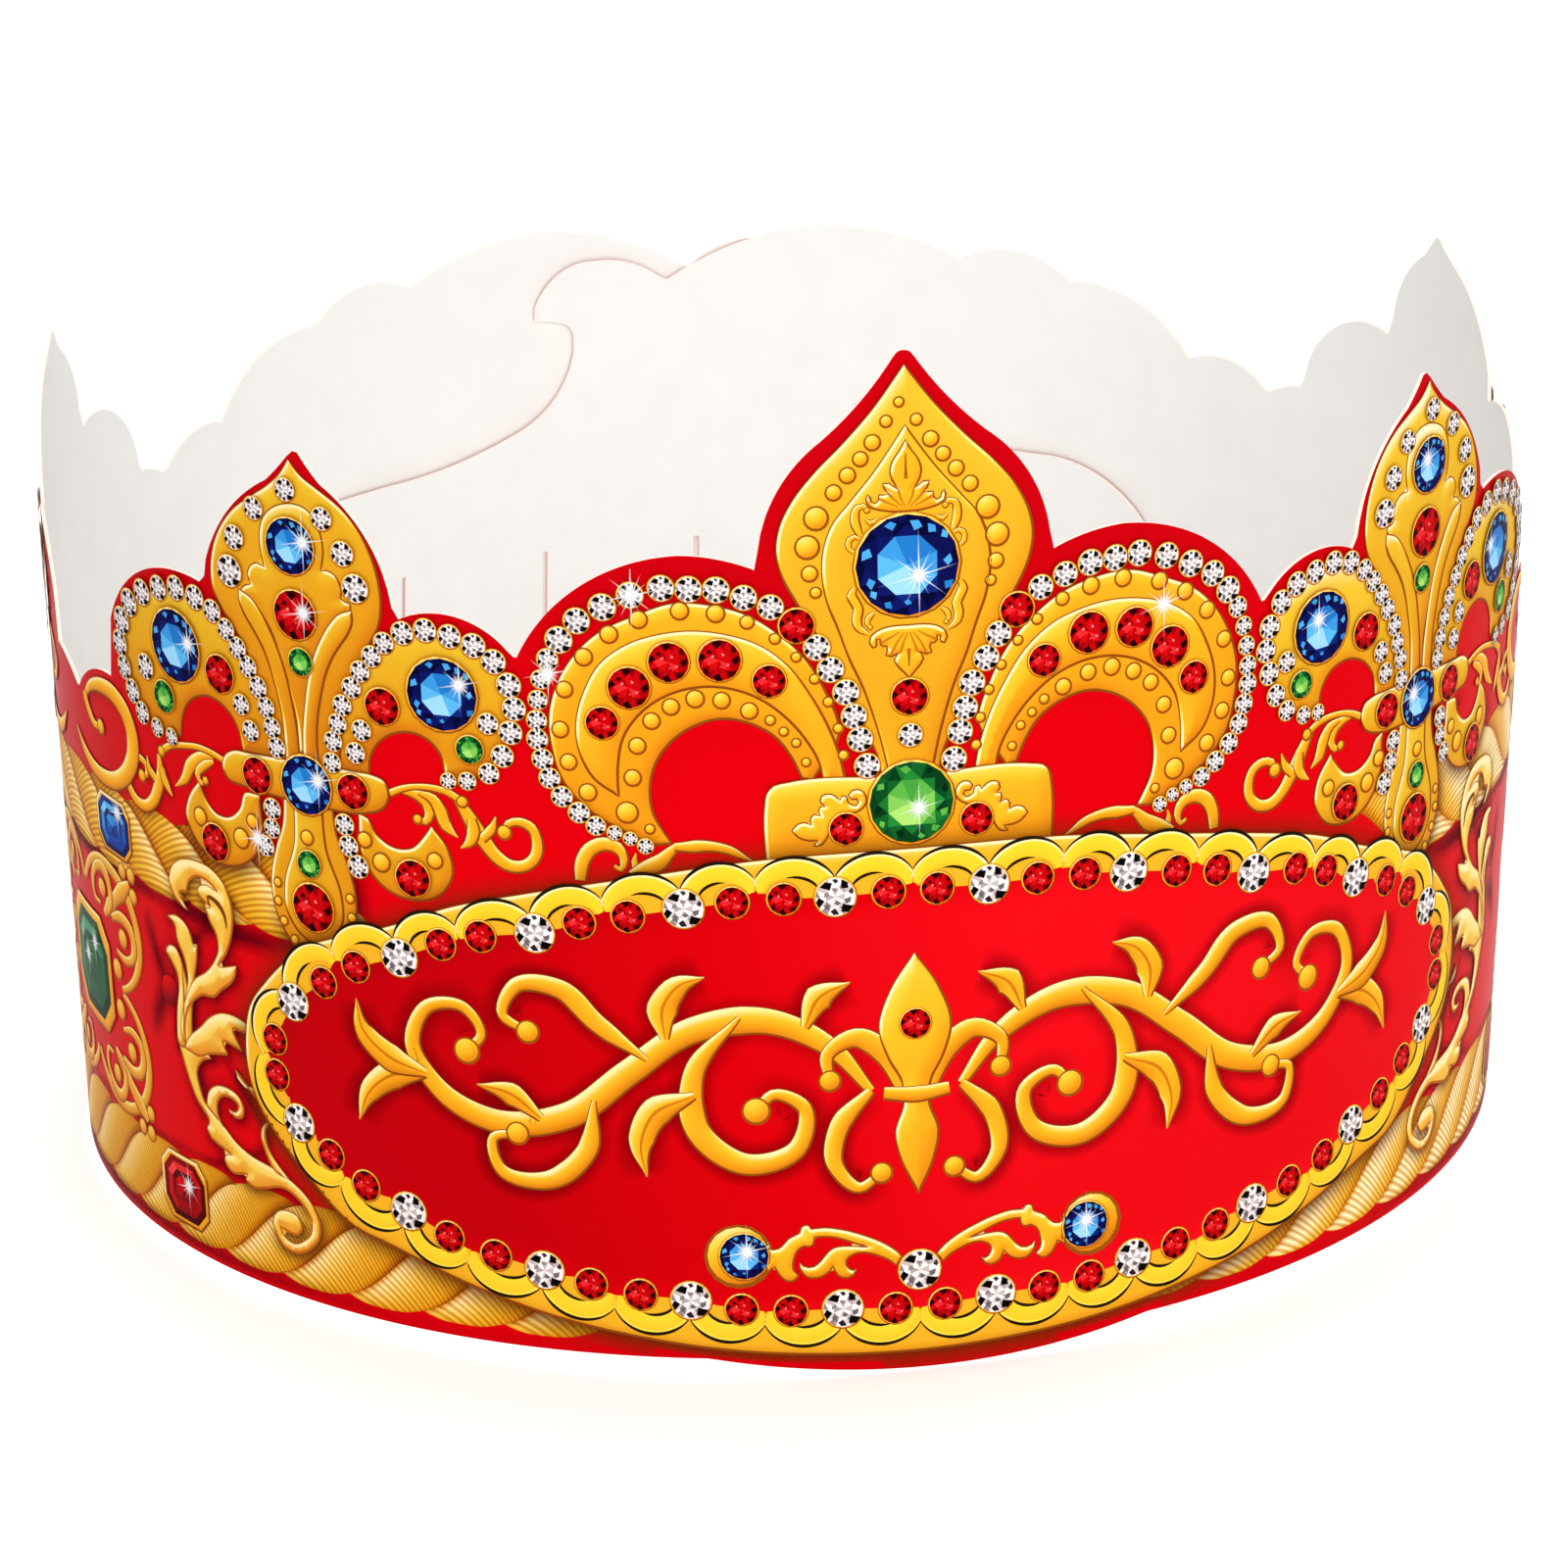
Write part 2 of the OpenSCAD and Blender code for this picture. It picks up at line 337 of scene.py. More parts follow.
# Points along rows of arcs (s, z, bow, steps): each arc leads from the row before to this one
# and swells out of its chord by bow. The middle of the arc is bow off the chord.
def trace(rows, finer=1):
    points = [np.array([rows[0][:2]], float)]
    for before, row in zip(rows, rows[1:]):
        a, b, bow = np.array(before[:2], float), np.array(row[:2], float), row[2]
        t = np.arange(1, row[3] * finer + 1)[:, None] / (row[3] * finer)
        chord = b - a
        half = np.linalg.norm(chord) / 2
        if abs(bow) < 0.001:
            points.append(a + t * chord)
            continue
        halfAngle = 2 * math.atan(abs(bow) / half)
        radius = half / math.sin(halfAngle)
        turn = (2 * t - 1) * halfAngle
        along = (half + radius * np.sin(turn)) / (2 * half)
        off = np.sign(bow) * (radius * np.cos(turn) - radius * math.cos(halfAngle)) / (2 * half)
        points.append(a + along * chord + off * [-chord[1], chord[0]])
    return np.concatenate(points)


# Upper edge of either half, from the front tip to the end of the hook: (s, z, bow, steps)
crest = [
    (0, 113, 0, 1), (1, 112.5, 0.15, 1), (9, 103.6, -0.45, 4), (15.7, 92.9, 1.2, 5),
    (15.9, 89.8, 0.1, 1), (24.3, 91.6, 0.45, 3), (42, 79.8, 2.9, 8), (42.5, 79.8, 0, 1),
    (56.2, 82.4, 2.7, 6), (56.6, 86, 0.2, 1), (64.4, 96.7, 1.3, 5), (67.1, 99.9, -0.1, 1),
    (68, 99.9, 0.1, 1), (71.6, 96.2, -0.1, 2), (81.3, 85.5, 1.3, 6), (81.8, 82.5, 0.1, 1),
    (101, 74.2, 3.7, 9), (101.4, 66.9, 0.3, 1), (112.9, 62.8, 1.5, 5), (113.6, 62.8, 0, 1),
    (122, 65.3, 0.65, 3), (122.4, 69.8, 0.1, 1), (136.1, 77.6, 3.8, 8), (136.5, 80.8, 0.1, 1),
    (148.1, 91.8, 1.3, 6), (151.2, 94.1, -0.1, 1), (152.1, 94.1, 0.1, 1), (154.4, 91.3, -0.1, 1),
    (160.2, 83.2, 1.1, 5), (160.7, 79.5, 0.1, 1), (176.3, 72, 3.9, 9), (176.9, 69.8, 0.1, 1),
    (182.3, 68.3, 0.35, 2), (183.1, 68.3, 0, 1), (195.3, 71.1, 1.8, 5), (212.4, 79.9, 2.7, 7),
    (228, 82.4, 2.5, 7), (248, 87, 1, 6), (269.8, 80.8, 1.35, 7), (270.6, 80.8, 0, 1),
    (280.8, 84.1, 1, 4), (289.9, 78.5, 1.8, 5),
]
hookUnder = [(284, 74.2, 0, 1), (286.2, 76.1, 0.45, 2), (289.9, 76.7, 0.1, 2)]


# Under side of the end, from the notch of the hook over the rounded tongue to the strip's end
def sweep(tongue):
    return [
        (284, 71.6, 0, 1), (292.1, 61.7, -1.6, 5), (312.3, tongue, -1, 5), (321.8, tongue - 0.5, 0, 3),
        (334.4, tongue - 7.7, 1.45, 5), (ring["stripHalf"], tongue - 15.3, 0.35, 2),
    ]


crestLine = trace(crest, 3)
hookLine = trace(hookUnder, 3)
sweepLines = {-1: trace(sweep(closure["leftTongue"]), 3), 1: trace(sweep(closure["rightTongue"]), 3)}
slots = {-1: [(leftSlot, closure["crossingWidth"])], 1: []}
for i in range(closure["slotCount"]):
    width = closure["crossingWidth"] if i == 0 else closure["slotWidth"]
    slots[1].append((closure["slotPlace"] + i * closure["slotPitch"], width))
notchPlace = hookUnder[0][0]
hookPlace = hookUnder[-1][0]

card = {
    "column": 1.25,  # mm between the columns of the mesh
    "crowded": 0.3,  # mm, columns closer than this to a kept one are left out
    "bandRows": (16, 8, 8, 8),  # rows in each of the four bands between the five heights
    "red": "DE000A",
    "deepRed": "A8000C",
    # where it deepens, mm: start, run and share, towards the sides, the top, again near the top, and
    # towards the bottom edge. Towards the sides and the top it is painted shade, where less light falls
    "shadeAndDarkening": ((50, 130, 0.5), (0, 90, 0.25), (68, 26, 0.36), (-6, 6, 0.5)),
}


# Bottom edge: straight, with a bulge that falls as a parabola
def bottomLine(s):
    u = (s - ring["bulgeOffset"]) / (ring["bulgeWidth"] / 2)
    return np.where(np.abs(u) < 1, -ring["bulgeDrop"] * (1 - u * u), 0)


# Five heights of each column: bottom, end of the slits, upper side of the sweep, under side of
# the hook and top. Before the notch the middle ones are spread evenly.
def levels(s):
    a = np.abs(s)
    swept = np.where(s < 0, np.interp(a, *sweepLines[-1].T), np.interp(a, *sweepLines[1].T))
    top = np.interp(np.minimum(a, hookPlace), *crestLine.T)
    play = closure["slotPlay"]
    slitEnd = closure["slotTop"] + np.where(s < 0, -play, play)
    slitEnd = np.minimum(slitEnd, swept - closure["underSweep"])
    thirds = np.where(a < notchPlace, (2 * slitEnd + top) / 3, swept)
    hook = np.interp(np.minimum(a, hookPlace), *hookLine.T)
    upper = np.where(a < notchPlace, (slitEnd + 2 * top) / 3, hook)
    return np.stack([bottomLine(s), slitEnd, thirds, upper, top], -1)


# Columns at both sides of each slit, at the notch and the ends, at each point of the outline
# and at even steps, where they don't crowd each other
def columnPlaces():
    halves = []
    for side in (-1, 1):
        kept = [ring["bulgeWidth"] / 2, notchPlace, hookPlace, ring["stripHalf"]]
        for at, width in slots[side]:
            kept += [at - width / 2, at + width / 2]
        kept += [slots[side][0][0] + run * closure["crossingRun"] for run in (-1, 1)]
        drawn = [crestLine[:, 0], hookLine[:, 0], sweepLines[side][:, 0]]
        for s in np.concatenate(drawn + [np.arange(card["column"], ring["stripHalf"], card["column"])]):
            if s > 0.2 and min(abs(s - k) for k in kept) > card["crowded"]:
                kept.append(s)
        halves.append(np.sort(kept))
    return np.concatenate([-halves[0][::-1], [0.0], halves[1]])


# Mesh of the card or its print, with its places on the flat strip and its ink at the points
def makeMesh(name, points, faces, materials, kinds, flat, ink):
    mesh = bpy.data.meshes.new(name)
    mesh.from_pydata(points.tolist(), [], faces.tolist())
    for material in materials:
        mesh.materials.append(material)
    mesh.polygons.foreach_set("material_index", np.asarray(kinds, np.int32))
    mesh.polygons.foreach_set("use_smooth", np.ones(len(faces), bool))
    corners = np.empty(len(mesh.loops), np.int32)
    mesh.loops.foreach_get("vertex_index", corners)
    mesh.uv_layers.new(name="flat").data.foreach_set("uv", flat[corners].astype(np.float32).ravel())
    painted = mesh.attributes.new("ink", "FLOAT_COLOR", "POINT")
    opaque = np.column_stack([ink, np.ones(len(ink))])
    painted.data.foreach_set("color", opaque.astype(np.float32).ravel())
    piece = bpy.data.objects.new(name, mesh)
    bpy.context.scene.collection.objects.link(piece)
    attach(piece, "root")
    return piece


# Red of the print with painted shade, darker towards the sides and the top where less light falls, and
# darker towards the bottom edge: brightest low at the front
def redInk(s, z):
    ways = zip((np.abs(s), z, z, bottomLine(s) - z), card["shadeAndDarkening"])
    # painted shade towards the sides and the top, and darkening towards the bottom edge
    deep = sum(share * smoothStep((way - start) / run) for way, (start, run, share) in ways)
    deep = deep[:, None].clip(0, 1)
    return linear(card["red"]) * (1 - deep) + linear(card["deepRed"]) * deep


# Outer and inner face of the strip on a grid of columns and rows, open at the slits and past the
# outline, with cut faces wherever a filled cell meets an open one
def makeCard():
    places = columnPlaces()
    heights = levels(places)
    rows = sum(card["bandRows"])
    band = np.repeat(np.arange(4), card["bandRows"])
    share = np.concatenate([np.arange(n) / n for n in card["bandRows"]])
    z = heights[:, band] * (1 - share) + heights[:, band + 1] * share
    z = np.column_stack([z, heights[:, 4]])
    s = np.repeat(places[:, None], rows + 1, 1)
    middle = (places[:-1] + places[1:]) / 2
    a = np.abs(middle)
    cut = {side: np.zeros(len(a), bool) for side in slots}
    for side, rowsOfSlots in slots.items():
        for at, width in rowsOfSlots:
            cut[side] |= (np.abs(a - at) < width / 2) & (middle * side > 0)
    bands = np.stack([~cut[1], ~cut[-1], a < notchPlace, a < hookPlace], -1)
    solid = np.pad(bands[:, band], 1)
    half = ring["cardThickness"] / 2
    points = np.concatenate([onRing(s, z, half), onRing(s, z, -half)]).reshape(-1, 3)
    count = len(places) * (rows + 1)
    at = np.arange(count).reshape(len(places), rows + 1)
    quads, kinds = [], []

    def add(where, corners, kind):
        i, j = np.nonzero(where)
        quads.append(np.stack([(at[i + di, j + dj] + face * count) for di, dj, face in corners], -1))
        kinds.append(np.full(len(i), kind))

    inside = solid[1:-1, 1:-1]
    add(inside, [(0, 0, 0), (1, 0, 0), (1, 1, 0), (0, 1, 0)], 0)
    add(inside, [(0, 0, 1), (0, 1, 1), (1, 1, 1), (1, 0, 1)], 1)
    add(inside & ~solid[1:-1, :-2], [(0, 0, 1), (1, 0, 1), (1, 0, 0), (0, 0, 0)], 2)
    add(inside & ~solid[1:-1, 2:], [(0, 1, 0), (1, 1, 0), (1, 1, 1), (0, 1, 1)], 2)
    add(inside & ~solid[:-2, 1:-1], [(0, 0, 0), (0, 1, 0), (0, 1, 1), (0, 0, 1)], 2)
    add(inside & ~solid[2:, 1:-1], [(1, 0, 1), (1, 1, 1), (1, 1, 0), (1, 0, 0)], 2)
    quads, kinds = np.concatenate(quads), np.concatenate(kinds)
    used, quads = np.unique(quads, return_inverse=True)
    quads = quads.reshape(-1, 4)
    flat = np.tile(np.stack([s.ravel(), z.ravel()], -1), (2, 1))[used]
    piece = makeMesh(
        "card_strip", points[used], quads, [varnishedInk, bareBoard, cutEdge], kinds, flat,
        redInk(flat[:, 0], flat[:, 1]))
    piece.data.set_sharp_from_angle(angle=math.radians(40))
    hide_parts("card_band")


makeCard()
print("card made")


# Print: flat drawings in strip millimetres, each laid on the ring a hair above the one below

paint = {
    "light": (-0.42, 0.91),  # towards the painted light, at the upper left
    "layer": 0.012,  # mm from one layer of print to the next
    "rightPaintedLight": 0.12,  # painted light: added to the tones of the gold on the right side, to light it more than the left
    "cell": 0.5,  # mm between the points of the shaded areas
    "cream": 0.28,  # mm, pale rim on the lit side of a raised shape
    "line": (0.1, 0.24),  # mm, brown line round it: on the lit and on the far side
    "thinLine": (0.12, 0.16),  # the same round the smallest leaves
    "stoneLayer": 28,  # stones lie on this layer, above all the gold under them
    "glintLayer": 32,
    "shadow": "5A0010",  # on the red
    "goldShadow": "6A2A08",  # round the cartouche, over the gold
    "fieldShadow": "2A0006",  # in the cartouche's field
}
light = np.array(paint["light"])

# Colour tables run from the darkest to the lightest tone
gold = [
    (0, "4A1A08"), (0.15, "7E3C10"), (0.3, "B4620E"), (0.45, "D88012"), (0.6, "EE9A18"),
    (0.72, "F5B322"), (0.84, "F8C83C"), (0.93, "FBDE80"), (1, "FFF2D0"),
]
fleurGold = [
    (0, "4A1A08"), (0.15, "8A4410"), (0.3, "C06A12"), (0.45, "D68014"), (0.6, "E09A1A"),
    (0.72, "E2AC24"), (0.84, "EABC30"), (0.93, "F8D87A"), (1, "FFF2D0"),
]
leafGold = [
    (0, "702E0A"), (0.2, "A85812"), (0.4, "D87E20"), (0.55, "E89A2E"), (0.68, "EEB23C"),
    (0.8, "F4C64C"), (0.9, "F9DA78"), (1, "FCECB4"),
]
ropeGold = [
    (0, "7A3A06"), (0.2, "C06E0A"), (0.4, "D4880F"), (0.6, "DC9C1A"), (0.78, "E6B234"), (0.9, "F3CC66"),
    (1, "FDE8B0"),
]
brass = [
    (0, "6A3A10"), (0.3, "D08C18"), (0.5, "EEB01E"), (0.7, "F8CC2C"), (0.85, "FBDA48"), (1, "FDF2C8"),
]
ribbon = [(0, "8A4A0C"), (0.5, "E69E1E"), (0.7, "F5B92A"), (1, "FBE288")]
outlineInk = [(0, "1E140A"), (1, "2A1C0C")]
white = [
    (0, "0A0606"), (0.2, "362A2C"), (0.4, "8A7C7C"), (0.6, "C2B4B2"), (0.8, "E2D8D6"), (1, "F8F2F0"),
]
ruby = [
    (0, "240004"), (0.25, "5E0006"), (0.5, "A80206"), (0.75, "DA080E"), (0.9, "EE464A"), (1, "F8B4B4"),
]
sapphire = [
    (0, "060630"), (0.25, "0C1662"), (0.45, "103E98"), (0.65, "2480CC"), (0.85, "60BCEE"),
    (1, "D8F4FC"),
]
emerald = [
    (0, "042410"), (0.25, "0A4C20"), (0.5, "1E8230"), (0.75, "62B444"), (0.9, "A6D868"), (1, "EAF8C8"),
]
deepGreen = [(0, "04180E"), (0.3, "0A3C22"), (0.6, "1A6A3C"), (0.85, "4C9A6A"), (1, "C8E8D0")]
reds = [(0, "46000A"), (0.4, "A2000A"), (0.7, "CE0008"), (1, "F0121C")]

sheets = {}


# Adds a drawing to a sheet: places (s, z), an ink for each or one for all, triangles between
# them, all turned to face outwards, and the layer it lies on
def lay(sheet, places, ink, faces, layer, strand=None, cover=1.0):
    names = ("places", "ink", "faces", "layer", "strand", "cover")
    store = sheets.setdefault(sheet, {"count": 0, **{name: [] for name in names}})
    places = np.asarray(places, float).reshape(-1, 2)
    a, b, c = (places[faces[:, k]] for k in range(3))
    twice = (b[:, 0] - a[:, 0]) * (c[:, 1] - a[:, 1]) - (c[:, 0] - a[:, 0]) * (b[:, 1] - a[:, 1])
    faces = np.where((twice < 0)[:, None], faces[:, ::-1], faces)[np.abs(twice) > 1e-5]
    store["places"].append(places)
    store["ink"].append(np.broadcast_to(ink, (len(places), 3)))
    store["faces"].append(faces + store["count"])
    store["layer"].append(np.full(len(places), float(layer)))
    store["strand"].append(np.zeros(len(places)) if strand is None else strand)
    store["cover"].append(np.broadcast_to(cover, len(places)))
    store["count"] += len(places)


# Two triangles for each cell of a grid
def gridFaces(rows, columns):
    i, j = (v.ravel() for v in np.meshgrid(np.arange(rows - 1), np.arange(columns - 1), indexing="ij"))
    a = i * columns + j
    b, c, d = a + columns, a + columns + 1, a + 1
    return np.concatenate([np.stack([a, b, c], -1), np.stack([a, c, d], -1)])


# Smooth line through the rows, cut into runs at the corners. A row with a third entry is a corner.
def curve(rows, closed=False, step=0.7):
    corners = [i for i, row in enumerate(rows) if len(row) > 2]
    points = np.array([row[:2] for row in rows], float)
    if closed and corners:
        points = np.roll(points, -corners[0], 0)
        corners = [i - corners[0] for i in corners] + [len(points)]
        points = np.vstack([points, points[:1]])
    elif closed:
        loop = np.vstack([points[-2:], points, points[:3]])
        return smoothRun(loop, step, 2, len(points))[:-1]
    ends = sorted({0, len(points) - 1, *corners})
    runs = [smoothRun(points[a:b + 1], step, 0, b - a) for a, b in zip(ends, ends[1:])]
    line = np.concatenate([run[:-1] for run in runs] + [runs[-1][-1:]])
    return line[:-1] if closed else line


# Each stretch is the cubic that leaves its ends along the mean direction of their neighbours.
def smoothRun(p, step, first, count):
    chord = np.diff(p, axis=0)
    length = np.maximum(np.linalg.norm(chord, axis=1), 1e-6)[:, None]
    unit = chord / length
    inner = (unit[1:] * length[:-1] + unit[:-1] * length[1:]) / (length[1:] + length[:-1])
    slope = np.vstack([unit[:1], inner, unit[-1:]])
    out = []
    for i in range(first, first + count):
        n = max(1, int(np.ceil(length[i, 0] / step)))
        t = np.arange(n)[:, None] / n
        h = [2 * t**3 - 3 * t**2 + 1, t**3 - 2 * t**2 + t, 3 * t**2 - 2 * t**3, t**3 - t**2]
        leaving, coming = length[i] * slope[i], length[i] * slope[i + 1]
        out.append(h[0] * p[i] + h[1] * leaving + h[2] * p[i + 1] + h[3] * coming)
    out.append(p[first + count][None])
    return np.concatenate(out)


# Rows mirrored at a line
def mirrored(rows, about):
    return [(2 * about - row[0], *row[1:]) for row in rows]


# Whole outline from its left half
def symmetric(rows):
    return rows + mirrored([row for row in reversed(rows) if abs(row[0]) > 0.01], 0.0)


# Unit vectors across, on the right hand of the way along a closed or an open line
def across(line, closed):
    way = np.roll(line, -1, 0) - np.roll(line, 1, 0) if closed else np.gradient(line, axis=0)
    way = way / np.maximum(np.linalg.norm(way, axis=1), 1e-6)[:, None]
    return np.stack([way[:, 1], -way[:, 0]], -1)


# Unit vectors out of a closed line, whichever way it runs
def outwards(line):
    after = np.roll(line, -1, 0)
    turn = (line[:, 0] * after[:, 1] - after[:, 0] * line[:, 1]).sum()
    return across(line, True) * np.sign(turn)


# Nearest point of the outline, its distance and whether the place lies inside
def nearest(places, starts, ends):
    along = ends - starts
    size = np.maximum((along**2).sum(-1), 1e-9)
    rise = np.where(np.abs(along[:, 1]) < 1e-9, 1e-9, along[:, 1])
    feet, inside = [], []
    for k in range(0, len(places), 3000):
        q = places[k:k + 3000, None]
        share = np.clip(((q - starts) * along).sum(-1) / size, 0, 1)
        foot = starts + share[..., None] * along
        best = ((q - foot)**2).sum(-1).argmin(1)
        feet.append(foot[np.arange(len(best)), best])
        crossed = (starts[:, 1] > q[..., 1]) != (ends[:, 1] > q[..., 1])
        where = starts[:, 0] + (q[..., 1] - starts[:, 1]) * along[:, 0] / rise
        inside.append((crossed & (q[..., 0] < where)).sum(1) % 2 == 1)
    feet, inside = np.concatenate(feet), np.concatenate(inside)
    return feet, np.linalg.norm(places - feet, axis=1), inside


# Shaded area inside the outline, on a grid whose points next to the edge snap to it. Its tone is
# that of a bevel along the edge: base tone plus the share of the edge's direction that faces the
# light, fading over the bevel, plus fall from the bottom to the top and sideways from the left
# to the right.
def area(sheet, starts, layer, tones=gold, bevel=2.2, base=0.66, lit=0.26, fall=0.0, cell=paint["cell"],
         sideways=0.0):
    ends = np.roll(starts, -1, 0)
    low, high = starts.min(0) - 1.5 * cell, starts.max(0) + 1.5 * cell
    axes = [np.arange(a, b, cell) for a, b in zip(low, high)]
    grid = np.stack(np.meshgrid(*axes, indexing="ij"), -1)
    places = grid.reshape(-1, 2)
    feet, away, inside = nearest(places, starts, ends)
    snapped = ~inside & (away < 0.75 * cell)
    outward = np.where(inside, -1.0, 1.0)[:, None] * (places - feet) / np.maximum(away, 1e-6)[:, None]
    depth = np.where(inside, away, 0.0)
    slope = np.clip(1 - depth / bevel, 0, 1)**1.3
    rise = (places[:, 1] - starts[:, 1].min()) / np.ptp(starts[:, 1])
    tone = base + lit * slope * (outward @ light) + fall * (rise - 0.5)
    run = (places[:, 0] - starts[:, 0].min()) / np.ptp(starts[:, 0])
    tone = tone + sideways * np.clip(run * 1.6 - 0.8, -0.5, 0.12)
    places = np.where(snapped[:, None], feet, places)
    used = inside | snapped
    faces = gridFaces(len(axes[0]), len(axes[1]))
    faces = faces[used[faces].all(1)]
    which, faces = np.unique(faces, return_inverse=True)
    lay(sheet, places[which], ramp(tones, tone[which]), faces.reshape(-1, 3), layer)


# Lines along a closed outline: brown round it, then cream inside where it faces the light
def rim(sheet, line, layer, tones=gold, width=paint["line"], tone=0.17):
    outward = outwards(line)
    facing = smoothStep((outward @ light + 0.15) / 0.6)[:, None]
    brown = width[0] * facing + width[1] * (1 - facing)
    cream = paint["cream"] * facing
    edges = [line + outward * 0.06, line - outward * (brown - 0.06), line - outward * brown,
             line - outward * (brown + cream + 0.01)]
    edges = [np.vstack([edge, edge[:1]]) for edge in edges]
    lit = np.append(facing[:, 0], facing[0, 0]) * 0.6 + 0.36
    tone = np.concatenate([np.full(2 * len(lit), tone), lit, lit])
    lay(sheet, np.concatenate(edges), ramp(tones, tone), gridFaces(4, len(edges[0])), layer)


# Raised shape: shaded area with its rim
def raised(sheet, rows, layer, width=paint["line"], **look):
    line = curve(rows, True)
    area(sheet, line, layer, **look)
    rim(sheet, line, layer + 1, width=width)


# Widths at the points of a line, from a few that are spread evenly along it
def widthsAlong(line, widths):
    run = np.append(0, np.cumsum(np.linalg.norm(np.diff(line, axis=0), axis=1)))
    return np.interp(run / run[-1], np.linspace(0, 1, len(widths)), widths)[:, None]


# Raised band of varying width along a line, shaded across like half a tube between brown lines,
# with a ball at its end if that has a radius
def stroke(sheet, rows, widths, layer, tones=gold, base=0.62, lit=0.26, ball=0.0):
    line = curve(rows)
    left = -across(line, False)
    width = widthsAlong(line, widths)
    reach, shade, every = [], [], np.ones_like(width)
    for side in (-1, 1):
        facing = side * (left @ light)[:, None]
        lip = smoothStep((facing + 0.15) / 0.6)
        brown = paint["line"][0] * lip + paint["line"][1] * (1 - lip)
        brown = np.minimum(2 * brown / width, 0.35)
        cream = np.minimum(2 * paint["cream"] * lip / width, 0.3)
        body = base + lit * facing
        reach.append([every, 1 - brown, 0.99 - brown, 0.98 - brown - cream, 0.3 * every])
        shade.append([0.17 * every, 0.17 * every, body + (0.96 - body) * lip, body,
                      base + 0.3 * lit * facing])
    offset = np.concatenate([-v for v in reach[0]] + reach[1][::-1], 1)
    tone = np.concatenate(shade[0] + shade[1][::-1], 1)
    places = line[:, None] + left[:, None] * (offset * width / 2)[..., None]
    lay(sheet, places, ramp(tones, tone.ravel()), gridFaces(len(line), offset.shape[1]), layer)
    if ball:
        bead(sheet, *line[-1], ball, layer + 0.1, tones, base)


# Flat pen line of varying width, in one tone or lit from its left
def penLine(sheet, rows, widths, layer, tones, base, lit=0.0):
    line = curve(rows)
    left = -across(line, False)
    width = widthsAlong(line, widths)
    offset = np.array([[-1, -0.5, 0, 0.5, 1]]) + 0 * width
    tone = base + lit * (left @ light)[:, None] * offset
    places = line[:, None] + left[:, None] * (offset * width / 2)[..., None]
    lay(sheet, places, ramp(tones, tone.ravel()), gridFaces(len(line), offset.shape[1]), layer)


# Round bead or button: rings whose middle is shifted towards the light, in a brown line
def bead(sheet, s, z, r, layer, tones=gold, base=0.68, lit=0.24, line=0.17):
    turn = np.linspace(0, 2 * math.pi, 17)
    edge = min(line / r, 0.3)
    reach = np.array([0.01, 0.35, 0.65, 1 - edge, 1.02 - edge, 1.08])
    direction = np.stack([np.cos(turn), np.sin(turn)], -1)
    out = reach[:, None, None]
    places = np.array([s, z]) + r * (out * direction + 0.25 * (1 - out) * light)
    facing = direction @ light
    tone = base + lit * reach[:, None] * facing
    tone[:2] += 0.08
    tone[4:] = 0.2
    lay(sheet, places, ramp(tones, np.clip(tone, 0, 1).ravel()), gridFaces(6, 17), layer)


def beads(sheet, rows, layer, **look):
    for s, z, r in rows:
        bead(sheet, s, z, r, layer, **look)


# Cut stone seen from above: table, star facets, kites and girdle, each facet one flat tone
def stoneFacets(table):
    at = [np.zeros((1, 2))]
    for count, reach, turn in ((8, table, 22.5), (8, (1 + table) / 2, 0), (16, 1.0, 0)):
        angle = np.radians(np.arange(count) * 360 / count + turn)
        at.append(reach * np.stack([np.cos(angle), np.sin(angle)], -1))
    points = np.concatenate(at)
    k = np.arange(8)
    inner, middle, outer = 1 + k, 9 + k, 17 + 2 * k
    nextInner, nextMiddle = 1 + (k + 1) % 8, 9 + (k + 1) % 8
    facets = [
        (0 * k, inner, nextInner), (inner, nextInner, nextMiddle), (inner, middle, outer + 1),
        (inner, outer + 1, nextMiddle), (middle, outer, outer + 1),
        (nextMiddle, outer + 1, 17 + (2 * k + 2) % 16),
    ]
    return points, np.concatenate([np.stack(facet, -1) for facet in facets])


